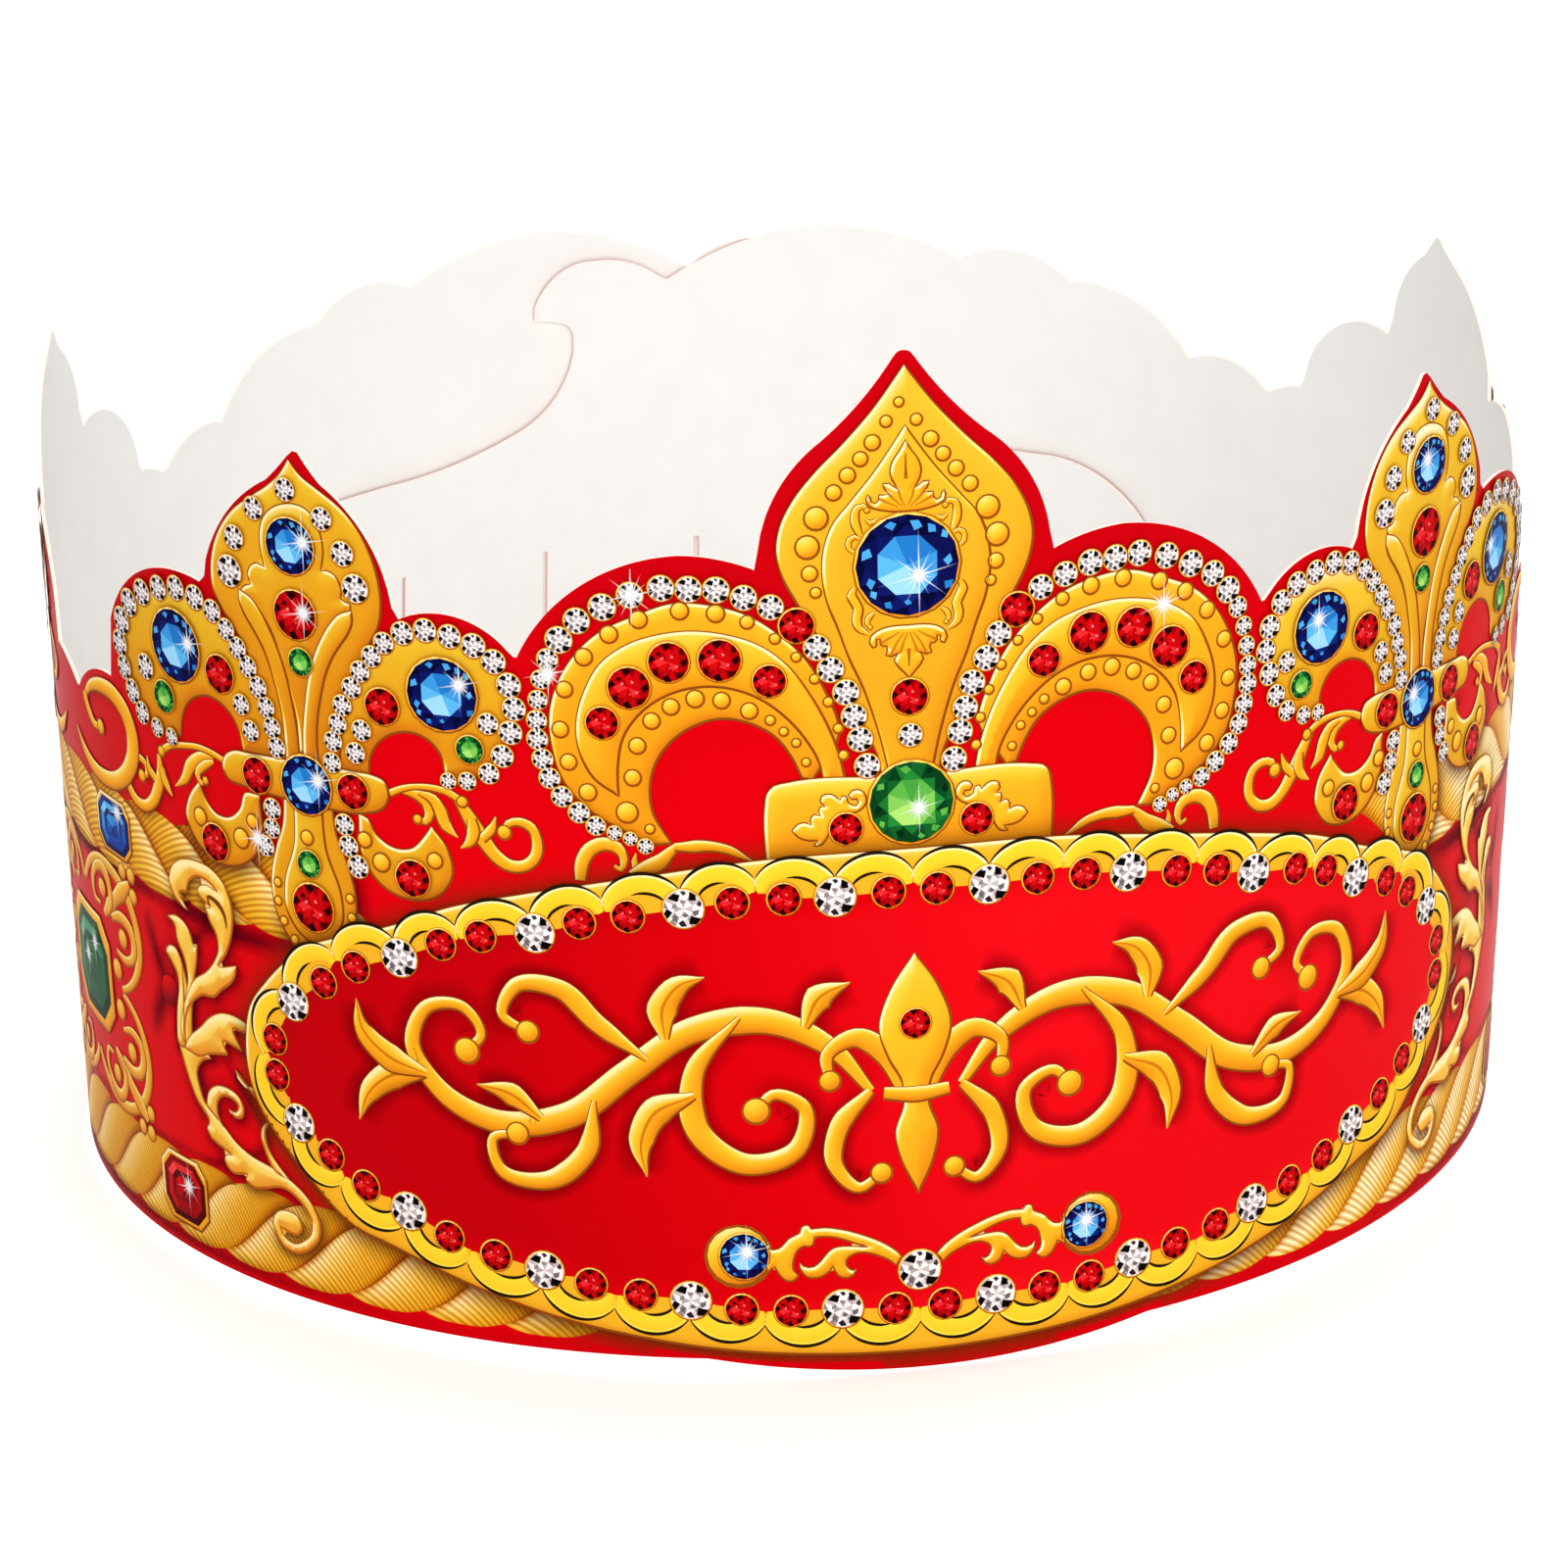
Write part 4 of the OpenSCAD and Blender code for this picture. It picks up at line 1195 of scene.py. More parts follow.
outerChain = [
    (-73.2, 58.5, 1.2), (-73.4, 56.2, 1.1), (-74.5, 53.9, 1.2), (-72, 65.8, 1.2), (-72.5, 68, 1.2),
    (-73.2, 70.2, 1.2), (-74.2, 72.3, 1.25), (-75.5, 74.4, 1.25), (-76.9, 76.3, 1.25),
    (-78.5, 78.1, 1.25), (-80.5, 79.8, 1.3), (-83.2, 80.8, 1.4), (-86.4, 81.2, 1.4), (-89.6, 80.5, 1.4),
    (-92.9, 79.2, 1.5), (-95.8, 77.3, 1.6), (-97.8, 74.7, 1.6), (-98.6, 71.9, 1.5), (-98, 69.2, 1.4),
    (-96.5, 66.8, 1.4), (-94.7, 64.7, 1.3), (-91.8, 63.7, 1.1), (-89.1, 63.3, 1), (-76.9, 69.8, 1.2),
    (-75.7, 67, 1.2), (-93.3, 70.5, 1.5),
]
innerChain = [
    (-63.3, 58.5, 1.2), (-62.9, 56.1, 1.2), (-61.8, 53.9, 1.3), (-64.5, 65.4, 1.15),
    (-64.2, 67.9, 1.15), (-63.5, 70, 1.15), (-62.8, 72.2, 1.2), (-61.5, 74.4, 1.2), (-60.3, 76.4, 1.2),
    (-58.8, 78.3, 1.2), (-57.2, 80, 1.2), (-54.9, 81.4, 1.3), (-52.2, 82, 1.3), (-49.4, 81.6, 1.3),
    (-46.7, 80.8, 1.35), (-44.5, 79.2, 1.35), (-42.9, 76.7, 1.35), (-42.4, 74.1, 1.3),
    (-42.9, 71.4, 1.3), (-43.9, 68.7, 1.25), (-45.5, 66.6, 1.15), (-48, 65.5, 1), (-50.2, 65.3, .9),
    (-60.5, 69.7, 1.2), (-61.4, 67, 1.2), (-45.4, 72.2, 1.2),
]
petalStones = [
    (-68.8, 95.6, 1.3), (-73.3, 92.8, 1.3), (-76.4, 89, 1.4), (-77.4, 85, 1.8), (-64.2, 93, 1.3),
    (-61.8, 89.4, 1.4), (-60.4, 85.7, 1.6),
]
sideBar = [
    (-80.7, 61.8), (-80.2, 63.2), (-79, 64), (-76.2, 64.3), (-68.2, 64.7), (-61.9, 64.8), (-59.4, 64.7),
    (-58, 64.2), (-57.5, 63), (-57.9, 61.5), (-59, 60.6), (-60.3, 60.2), (-68.2, 59.9), (-76, 60.1),
    (-78, 60.2), (-79.9, 60.5),
]
sideBeads = [
    (-85.1, 54.9, 1.1), (-78.4, 53.9, 1.2), (-76.5, 56.3, .9), (-60.9, 57.1, .95), (-58.9, 54.8, 1.1),
    (-52.3, 55.9, .95), (-68.6, 56, .9), (-73.2, 49.9, .6), (-73.3, 47.7, .6), (-72.6, 45.5, .6),
    (-71.2, 43.6, .6), (-63.2, 49.9, .6), (-63.1, 47.7, .6), (-63.8, 45.5, .6),
]
sideStones = {
    "sapphire": [(-68.6, 89.3, 3.2), (-68.2, 62.2, 3.4), (-50.6, 75, 4.1)],
    "ruby": [(-68.4, 81.6, 2.8), (-75.2, 62, 2.1), (-62, 62.5, 2), (-57.8, 72.8, 2.1), (-55, 53.6, 2.1),
             (-68.2, 48, 2.8)],
    "emerald": [(-68, 76.3, 1.6), (-47.6, 69.1, 1.6), (-68.4, 53, 1.6)],
}
# Stones of the outer lobe, which is wider than the inner one, but the same on the third fleurs
outerStones = {
    "sapphire": [(-87.3, 74.4, 4.2)],
    "ruby": [(-80, 72.7, 2.2), (-82.6, 52.5, 2.2)],
    "emerald": [(-90, 67.8, 1.9)],
}
twinStones = {
    "sapphire": [(-85.8, 75, 4.1)],
    "ruby": [(-78.6, 72.8, 2.1), (-81.4, 53.6, 2.1)],
    "emerald": [(-88.8, 69.1, 1.6)],
}


# Both sides of the third fleurs are drawn as the inner side. The glow is painted light that lifts the gold
# of the right side.
def sideFleur(move, glow, twin=False):
    def piece(rows, layer, base, **look):
        raised("fleurs", move(rows), layer, tones=fleurGold, base=base + glow, **look)

    def pair(outer, inner):
        return (mirrored(inner, fleur["axis"]) if twin else outer), inner

    for crescent, lobe in zip(pair(outerCrescent, innerCrescent), pair(outerLobe, innerLobe)):
        if twin or crescent is outerCrescent:
            shadow(curve(move(crescent), True), 2.4, 0.6, 4)
        piece(crescent, 5, bevel=1.8, base=0.56)
        piece(lobe, 5, bevel=2.0, base=0.61, lit=0.24, fall=0.36)
    shadow(curve(move(stemSkirt), True), 2.4, 0.6, 4)
    piece(stemSkirt, 7, bevel=1.6, base=0.54, fall=0.1)
    piece(stemLeaf, 9, bevel=2.2, fall=0.14, base=0.62)
    piece(sidePetal, 7, bevel=2.2, fall=0.34, base=0.57, lit=0.24)
    piece(sideBody, 9, width=paint["thinLine"], bevel=2.0, fall=0.42, base=0.56, lit=0.22)
    for leaf in (sideLeaf, mirrored(sideLeaf, -68.7)):
        piece(leaf, 11, bevel=1.2, base=0.54, lit=0.32, fall=0.28)
    piece(sideBar, 13, bevel=1.8, base=0.6, lit=0.3)
    beads("fleurs", move(sideBeads), 15, base=0.7)
    stones("white", move(petalStones + innerChain + pair(outerChain, innerChain)[0]))
    for table in (sideStones, twinStones if twin else outerStones):
        for kind, rows in table.items():
            stones(kind, move(rows))


# Cartouche: left half of its edge, the cusps between its scallops, and the stones on it
border = {
    "middle": 29,  # mm, height of the middle line of the cartouche
    "white": 2.2,  # mm, radius of its stones
    "ruby": 1.8,
    "scallop": 3.0,  # mm, height of the scallops
}
cartoucheEdge = [
    (0, 58.3), (-17, 57.75), (-30, 55.75), (-42, 53.25), (-50.5, 50.9), (-58.5, 47.5), (-66, 44.75),
    (-70, 43), (-73, 40.5), (-76, 37.5), (-78.75, 34), (-79.75, 30), (-79.75, 26.5), (-78.75, 23),
    (-75.5, 19), (-72, 16), (-65, 10.8), (-60, 9.5), (-50, 6.5), (-40, 4), (-30, 2.25), (-20, 1),
    (-10, .35), (0, .1),
]
cusps = [
    (0, 54.6), (-16.9, 54.5), (-33.25, 52), (-49.85, 47.5), (-65.6, 42.5), (-76.5, 29), (-66, 16.5),
    (-50.1, 10.5), (-33.25, 7), (-16.9, 5.5), (0, 5),
]
borderWhites = [
    (-8.4, 53.4), (-24.65, 52.4), (-41, 48.85), (-57.15, 44.1), (-71.9, 36.15), (-72.1, 21.65),
    (-57.5, 14.15), (-41.25, 9.5), (-25, 7), (-8.5, 5.75),
]
borderRubies = [
    (-2.65, 53.6), (-13.9, 53.4), (-19.4, 53.1), (-30.65, 51.4), (-36, 50.4), (-47.25, 47.9),
    (-52, 46.4), (-62.85, 42.1), (-67.35, 39.4), (-75, 31), (-75, 26.75), (-67.65, 18.85), (-63, 16.15),
    (-52.5, 12), (-46.9, 10.6), (-36, 8.4), (-30.5, 7.5), (-19.5, 6), (-14.15, 5.75), (-2.75, 5.4),
]
borderWhites = [(s, z, border["white"]) for s, z in borderWhites]
borderRubies = [(s, z, border["ruby"]) for s, z in borderRubies]


# Scallop from a white stone to a cusp: crescent with its lit edge and dark outline, and a comma
# inside. Each is part of an oval over the chord between them, on its outer side.
def scallop(whiteAt, cuspAt):
    a, b = np.array(whiteAt[:2]), np.array(cuspAt)
    middle, way = (a + b) / 2, b - a
    half = np.linalg.norm(way) / 2
    way /= 2 * half
    out = np.array([-way[1], way[0]])
    if out @ (middle - [middle[0] * 0.8, border["middle"]]) < 0:
        out = -out

    def arc(wide, high, first, last, lift=0.0):
        turn = np.radians(np.linspace(first, last, 15))[:, None]
        line = middle + out * lift - np.cos(turn) * wide * way + np.sin(turn) * high * out
        return [tuple(p) for p in line]

    high, edgeTone = border["scallop"], 0.94 if middle[1] > border["middle"] else 0.84
    crescent, lit = arc(half - 0.5, high, 0, 184), arc(half + 0.25, high + 0.85, 12, 174)
    outline, comma = arc(half + 0.45, high + 1.1, 30, 160), arc(half - 1.7, high - 1.25, 12, 118, 0.1)
    penLine("cartouche", crescent, (1.3, 2.0, 2.3, 2.3, 2.2, 1.7, 0.7), 25, brass, 0.68, 0.1)
    penLine("cartouche", lit, (0.2, 0.4, 0.35, 0.25, 0.1), 26, brass, edgeTone)
    penLine("cartouche", outline, (0.08, 0.35, 0.4, 0.3, 0.08), 27, outlineInk, 0)
    penLine("cartouche", comma, (0.06, 0.3, 0.36, 0.3, 0.06), 26, outlineInk, 0)


# Half outline of the leafy spray under the field
spray = [
    (-1.9, 11.4, 1), (-2.4, 12), (-3.1, 12.6), (-4.3, 13.4), (-5.5, 14), (-6.7, 14.5), (-7.8, 14.9),
    (-9, 15.2), (-10.2, 15.4), (-11.8, 15.3, 1), (-12, 15.7), (-12.4, 15.8), (-12.8, 15.6),
    (-13, 14.9, 1), (-13.6, 14.6), (-14.3, 14.2), (-14.8, 13.6), (-15.4, 13.1), (-16, 13),
    (-16.3, 13.2), (-16.6, 14.1, 1), (-16.9, 12.4), (-16.6, 10.4, 1), (-15.8, 10.9, 1), (-15.5, 10.3),
    (-15.1, 9.7), (-14.4, 9.2), (-13.7, 9.3), (-13.2, 9.9, 1), (-13.6, 10.3), (-13.8, 11),
    (-13.7, 11.7), (-13.5, 12.4), (-13.2, 12.9), (-12.6, 13.3, 1), (-12, 13.2), (-11.6, 13.4),
    (-11.4, 14.3, 1), (-10.2, 14.3), (-9, 14.1), (-7.9, 13.7), (-6.7, 13.2), (-5.6, 12.8, 1),
    (-6.7, 13), (-7.9, 13.1), (-8.8, 13.1), (-9.5, 12.9), (-10.1, 12.4), (-10.5, 11.9), (-11, 11.3),
    (-11.5, 10.9), (-12.1, 10.8), (-12.7, 11), (-13.1, 11.4, 1), (-13.1, 10.8), (-12.8, 10.1),
    (-12.4, 9.7), (-11.9, 9.5), (-11.2, 9.5), (-10.4, 9.8), (-9.8, 10.3), (-9.5, 10.8, 1), (-9.3, 10.2),
    (-9, 9.7), (-8.5, 9.4), (-7.9, 9.3), (-7.3, 9.6), (-6.9, 10.4, 1), (-7.3, 10.2), (-7.7, 10.4),
    (-8, 10.9), (-8, 11.4), (-7.7, 11.8), (-7.1, 12.1), (-6.2, 12.2), (-5.3, 12), (-4.3, 11.6),
    (-3.4, 11.1), (-2.6, 10.4, 1),
]


# The field ends at the cusps and at the middles of the stones, joined by straight lines
def cartouche():
    line = curve(symmetric(cartoucheEdge), True, 1.0)
    shadow(line, 3.0, 0.7, 21, around=0.6, colour=paint["goldShadow"])
    inner = []
    for k in range(10):
        inner += [cusps[k], borderRubies[2 * k], borderWhites[k], borderRubies[2 * k + 1]]
    inner = symmetric(inner + [cusps[10]])
    field = curve([(row[0], row[1], 1) for row in inner], True, 1.2)
    area("cartouche", line, 22, ribbon, bevel=1.2, base=0.6, lit=0.3, cell=0.8)
    rim("cartouche", line, 23)
    area("field", field, 24, reds, bevel=3.0, base=0.78, lit=-0.12, sideways=0.46, fall=0.06, cell=0.9)
    for turn in (1, -1):
        side = mover(turn)
        for k in range(10):
            for cusp in (cusps[k], cusps[k + 1]):
                scallop(side([borderWhites[k]])[0], side([cusp])[0])
        stones("white", side(borderWhites))
        stones("ruby", side(borderRubies))
        beads("ornament", side([(-19.7, 12.3, 3.5)]), 27, base=0.66, lit=0.3)
        stones("sapphire", side([(-19.1, 12.25, 2.7)]))
        raised("ornament", side(spray), 27, paint["thinLine"], bevel=0.9, base=0.7, fall=0.2, cell=0.25)
    stone("white", 0, 9.7, 2.3)


# Generic scroll ornament in the middle of the field: line, widths and radius of its end ball
flourish = [
    ([(-5, 31), (-9, 36), (-16, 39.5), (-24, 38.5), (-31, 33.5), (-38, 28), (-46, 26.5), (-53, 29.5),
      (-56, 34.5), (-53.8, 39), (-49.6, 39.4), (-47.6, 36.4), (-49.4, 34.4)],
      (1.2, 2.6, 3.4, 3, 3.2, 3.2, 2.8, 2.2, 1.6, 1.2), 1.5),
    ([(-19, 40), (-24, 33.5), (-23.5, 26.5), (-18.5, 23), (-13, 24.8), (-12.2, 29.4), (-15.6, 31),
      (-17.4, 29.2)], (0.6, 2.2, 3.0, 2.8, 2.4, 1.8, 1.2), 1.5),
    ([(-29, 35), (-34.5, 39), (-38.4, 42.6), (-43.4, 42.6), (-45, 39), (-42.2, 37.4)],
      (0.6, 2.2, 2.6, 2.2, 1.6, 1.0), 1.3),
    ([(-35, 30), (-36, 24), (-40.5, 20.2), (-46, 21), (-46.6, 24.6), (-43.8, 25.4)],
      (0.6, 2.4, 2.6, 2, 1.5, 1.0), 1.3),
    ([(-27, 37.4), (-27.2, 41), (-25.4, 43.6), (-22.6, 44.6)], (1.0, 3.6, 2.8, 0.2), 0),
    ([(-24, 31), (-28.6, 28.6), (-30, 25), (-29.4, 21.4)], (1.0, 3.6, 3.0, 0.2), 0),
    ([(-54.5, 31), (-59, 30), (-62, 27.4), (-63.4, 24)], (1.2, 3.6, 2.8, 0.2), 0),
    ([(-54.5, 31), (-59.4, 32.4), (-62.4, 35), (-63, 38.4)], (1.2, 3.6, 2.8, 0.2), 0),
    ([(-41, 27.4), (-44.6, 30), (-48.4, 30.6)], (1.0, 3.0, 0.2), 0),
    ([(-12, 38.6), (-10.4, 42), (-7, 43.6)], (1.0, 3.4, 0.2), 0),
    ([(-5, 31), (-8.5, 27), (-9, 22.6), (-6.4, 19.8), (-4, 21.4)], (1.2, 2.4, 2.2, 1.6, 1.0), 1.2),
]
lily = [
    (0, 46.5, 1), (-2.8, 42.2), (-4, 38.2), (-3, 34.4), (-1.6, 31.6), (-1.4, 29.4), (-2.4, 26),
    (-1.8, 22.6), (0, 18.6, 1),
]


def fieldOrnament():
    for turn in (1, -1):
        side = mover(turn)
        for layer, (rows, widths, ball) in enumerate(flourish):
            rows = side(rows)
            line = curve(rows)
            shadow(line, max(widths) + 2.6, 0.8, 24.6, False, colour=paint["fieldShadow"])
            stroke("ornament", rows, widths, 25.4 + layer * 0.14, base=0.66, lit=0.3, ball=ball)
            if not ball:
                penLine("ornament", rows, (0.1, 0.4, 0.3, 0.1), 25.46 + layer * 0.14, gold, 0.38)
        wing = side([(-1.2, 30.8), (-3.2, 35), (-6.6, 37.2), (-9.6, 35.4), (-9.4, 32.4)])
        stroke("ornament", wing, (2.0, 2.8, 2.6, 1.8, 1.2), 27, ball=1.2)
    line = curve(symmetric(lily), True)
    area("ornament", line, 27.3, bevel=2.4, base=0.68, fall=0.14)
    rim("ornament", line, 27.6)
    stroke("ornament", [(-3.6, 30.6), (0, 30.2), (3.6, 30.6)], (1.6, 2.0, 1.6), 28)
    stone("ruby", 0, 38.4, 1.7, 28.5)


rosette = {
    "axis": -117.6,  # mm, middle of the filigree round the square green stone, on the left
    "middle": 27.5,
    "rightBack": 10,  # mm that it and the square stones sit further back on the right
}

# Scrolls between the fleurs, in left-hand places: line, widths and radius of its end ball
scrolls = [
    ([(-49.7, 63.5), (-48.5, 61.9), (-47.5, 60.3), (-46.4, 58.7), (-45.1, 57.1), (-43.5, 56.2),
      (-41.8, 56.4), (-40.6, 57.6), (-40.4, 59.3), (-41, 60.7), (-42.3, 61.3), (-43.6, 61),
      (-44.1, 60)], (0.8, 1.6, 2, 2, 1.8, 1.7, 1.6, 1.5, 1.5, 1.4, 1.3, 1.1, 0.9), 0.85),
    ([(-56.1, 63.4), (-54.4, 63.2), (-53.1, 62.4), (-52.7, 61.2), (-53.3, 60.2), (-54.2, 60.4)],
      (0.6, 1.2, 1.5, 1.5, 1.1, 0.7), 0.6),
    ([(-54, 63.5), (-52.3, 62.9), (-51.4, 61.6), (-50.8, 60), (-49.5, 58.9)], (0.6, 1.4, 1.8, 1.6, 0.2),
      0),
    ([(-46.7, 59), (-45.6, 60.1), (-45, 61.7)], (1.2, 1.3, 0.2), 0),
    ([(-47.8, 61.2), (-47.6, 59.8), (-48, 58.6), (-49.2, 57.7)], (1.2, 1.7, 1.4, 0.2), 0),
    ([(-57.5, 62.9), (-56.1, 63.6), (-54.3, 64.1), (-52.3, 64.2), (-50.5, 63.9), (-48.8, 63)],
      (1.0, 0.9, 0.8, 0.9, 1.0, 1.0), 0.7),
    ([(-35.7, 55.2), (-35.5, 57.1), (-34.6, 58.7), (-33.1, 59.4), (-31.6, 59), (-30.9, 57.7),
      (-31.3, 56.6), (-32, 57)], (1.4, 1.7, 1.8, 1.8, 1.7, 1.4, 0.9, 0.5), 0),
    ([(-29.5, 56.4), (-29.8, 57.6), (-29.6, 58.5)], (1.2, 0.9, 0.2), 0),
    ([(-30.2, 56), (-28.5, 56.8), (-27.1, 57.5), (-25.8, 58.8), (-25, 59.5)], (1.2, 1.9, 2.1, 1.5, 0.9),
      0),
    ([(-25.5, 59.3), (-24, 59.3), (-22.1, 59.4), (-20.1, 59.1), (-17.2, 57.7)],
      (1.0, 1.6, 1.3, 1.1, 0.3), 0),
]
outerScrolls = [
    ([(-92.3, 60.4), (-92.2, 58.3), (-93, 56.2), (-94.2, 54.4), (-96.2, 53.2), (-98.2, 53.4),
      (-99.7, 54.8), (-100.1, 56.5), (-99, 58.2), (-97, 58.9), (-95.2, 58.3), (-95.2, 57.2),
      (-96.3, 56.8)], (0.8, 1.6, 2.0, 1.9, 1.7, 1.6, 1.5, 1.5, 1.4, 1.3, 1.1, 0.9, 0.8), 0.8),
    ([(-82.1, 62.6), (-84.7, 61.8), (-86.4, 60.4), (-87.4, 58.8), (-89.4, 57.4)],
      (0.6, 1.6, 1.9, 1.5, 0.2), 0),
    ([(-82.2, 62), (-83.9, 61.1), (-85.1, 59.8), (-84.6, 58.9), (-83.8, 59.4)],
      (0.6, 1.3, 1.3, 0.9, 0.6), 0.55),
    ([(-91.9, 58.9), (-91.4, 57.4), (-90.2, 56)], (1.3, 1.6, 0.3), 0),
    ([(-93.3, 57.1), (-94.6, 58.2), (-94.8, 59.6)], (1.2, 1.3, 0.2), 0),
    ([(-80.5, 62.5), (-82.1, 62.9), (-84.6, 63.1), (-87.2, 62.7), (-90.1, 61.9), (-91.7, 60.9)],
      (0.9, 0.9, 0.9, 0.9, 1.0, 1.1), 0.7),
]
# The same on both sides of the filigree's axis
sideScroll = [
    ([(-111.2, 61.6), (-108.9, 63.8), (-105.2, 65), (-101.6, 64.8), (-99.2, 63.4), (-97.9, 61.1),
      (-98.1, 58.7), (-99.8, 56.2), (-102.6, 54.4), (-106.5, 53.7), (-109.9, 54.1), (-112.4, 55.2),
      (-115, 57.4)], (0.5, 1.4, 2.0, 2.4, 2.6, 2.8, 2.8, 2.6, 2.4, 2.2, 2.0, 1.6, 0.4), 0),
    ([(-110.8, 62.8), (-109.8, 60.9), (-108.2, 59.6), (-106.2, 59.8)], (1.6, 1.6, 1.3, 0.8), 1.0),
]


def scrollWork():
    for turn in (1, -1):
        back = [(mirrored(rows, rosette["axis"]), widths, ball) for rows, widths, ball in sideScroll]
        for layer, (rows, widths, ball) in enumerate(scrolls + outerScrolls + sideScroll + back):
            rows = mover(turn)(rows)
            if rows[0][1] < 62 and abs(rows[0][0]) > 80:  # the low ones at the sides cast shadows
                shadow(curve(rows) + [0.4, -0.6], 2.6, 0.5, 4, False)
            stroke("scrolls", rows, widths, 7 + 0.15 * layer, base=0.66, ball=ball)


# Rosettes of filigree round the square green stone: a quarter, with line, widths and end ball
filigreeLoop = [(-109.4 + 8.8 * math.cos(a), 34.9 + 7.6 * math.sin(a))
                for a in np.radians(np.arange(-70, 170, 15))]
filigreeCurls = [
    (filigreeLoop, (1.0, 1.7, 1.7, 1.7, 1.2), 0),
    ([(-110.5, 35.8), (-106.4, 38.9), (-102, 42)], (1.0, 2.4, 2.0, 2.6, 1.2), 0),
    ([(-109, 36.5), (-107.9, 38), (-108.2, 40.2), (-110, 41.6), (-112.5, 41), (-114, 39),
      (-113.6, 36.9), (-111.6, 36.8)], (1.0, 1.5, 1.7, 1.7, 1.5, 1.3, 1.0, 0.6), 0),
    ([(-108, 36.2), (-105, 37), (-102.7, 36.2), (-101.9, 34.5), (-102.5, 32.8), (-104.5, 31.9),
      (-107.2, 32.4)], (1.0, 1.7, 1.8, 1.7, 1.5, 1.3, 0.7), 0),
]
filigreeKnobs = [
    (-103.6, 43.2, 1), (-101.3, 43.3, 1), (-101.1, 40.8, 1), (-110.6, 39, 1.2), (-105, 34.5, 1.2),
    (-107.5, 30, 1.3),
]


# Moves rows of the drawn quarter to another one, and with the turn -1 to the right rosette
def quarter(rows, mirror, flip, turn, back):
    rows = mirrored(rows, rosette["axis"]) if mirror else rows
    if flip:
        rows = [(s, 2 * rosette["middle"] - z, *rest) for s, z, *rest in rows]
    return [(turn * (s - back), z, *rest) for s, z, *rest in rows]


def filigree():
    quarters = [(mirror, flip) for mirror in (False, True) for flip in (False, True)]
    for turn, back in ((1, 0), (-1, rosette["rightBack"])):
        for mirror, flip in quarters:
            for layer, (rows, widths, ball) in enumerate(filigreeCurls):
                rows = quarter(rows, mirror, flip, turn, back)
                stroke("scrolls", rows, widths, 5 + 0.3 * layer, leafGold, base=0.58, ball=ball)
            knobs = quarter(filigreeKnobs, mirror, flip, turn, back)
            beads("scrolls", knobs, 7, tones=leafGold, base=0.62)


squareCut = {
    "corner": 0.5,  # cut off each corner, in halves of its shorter side
    "edges": (1.0, 0.8, 0.58, 0.4, 0.02),  # of the nested frames, in shares of the whole
    "tones": (0.22, 0.6, 0.34, 0.5),  # of the frames, from the outer one to the table
    "contrast": (0.3, 0.5, -0.3, 0.4),  # and how much the light changes each
    # light on the eight sides of a frame, clockwise from the upper right corner
    "light": (0.55, 0.2, 0.1, 0.0, 0.35, 0.55, 0.95, 0.8),
}


# Square cut stone with cut corners: nested frames of facets round a table
def squareStone(tones, s, z, wide, high, frameWidth, layer=9):
    def box(w, h, cut):
        rows = [(w - cut, h), (w, h - cut), (w, cut - h), (w - cut, -h),
                (cut - w, -h), (-w, cut - h), (-w, h - cut), (cut - w, h)]
        return np.array(rows) + [s, z]

    w, h = wide / 2, high / 2
    corner = min(w, h) * squareCut["corner"]
    outer = [(*p, 1) for p in box(w + frameWidth, h + frameWidth, corner)]
    raised("stones", outer, layer, bevel=frameWidth, base=0.66, lit=0.3)
    edges = [box(w * k, h * k, corner * k) for k in squareCut["edges"]]
    for k, (middleTone, contrast) in enumerate(zip(squareCut["tones"], squareCut["contrast"])):
        for i in range(8):
            a, b, c, d = edges[k][i], edges[k][(i + 1) % 8], edges[k + 1][(i + 1) % 8], edges[k + 1][i]
            n = int(np.linalg.norm(a - b) / 1.4) + 2
            u = np.linspace(0, 1, n)[:, None, None]
            v = np.linspace(0, 1, 4)[:, None]
            places = (a * (1 - u) + b * u) * (1 - v) + (d * (1 - u) + c * u) * v
            tone = middleTone + (squareCut["light"][i] - 0.4) * contrast
            lay("stones", places, ramp(tones, [tone])[0], gridFaces(n, 4), layer + 2)


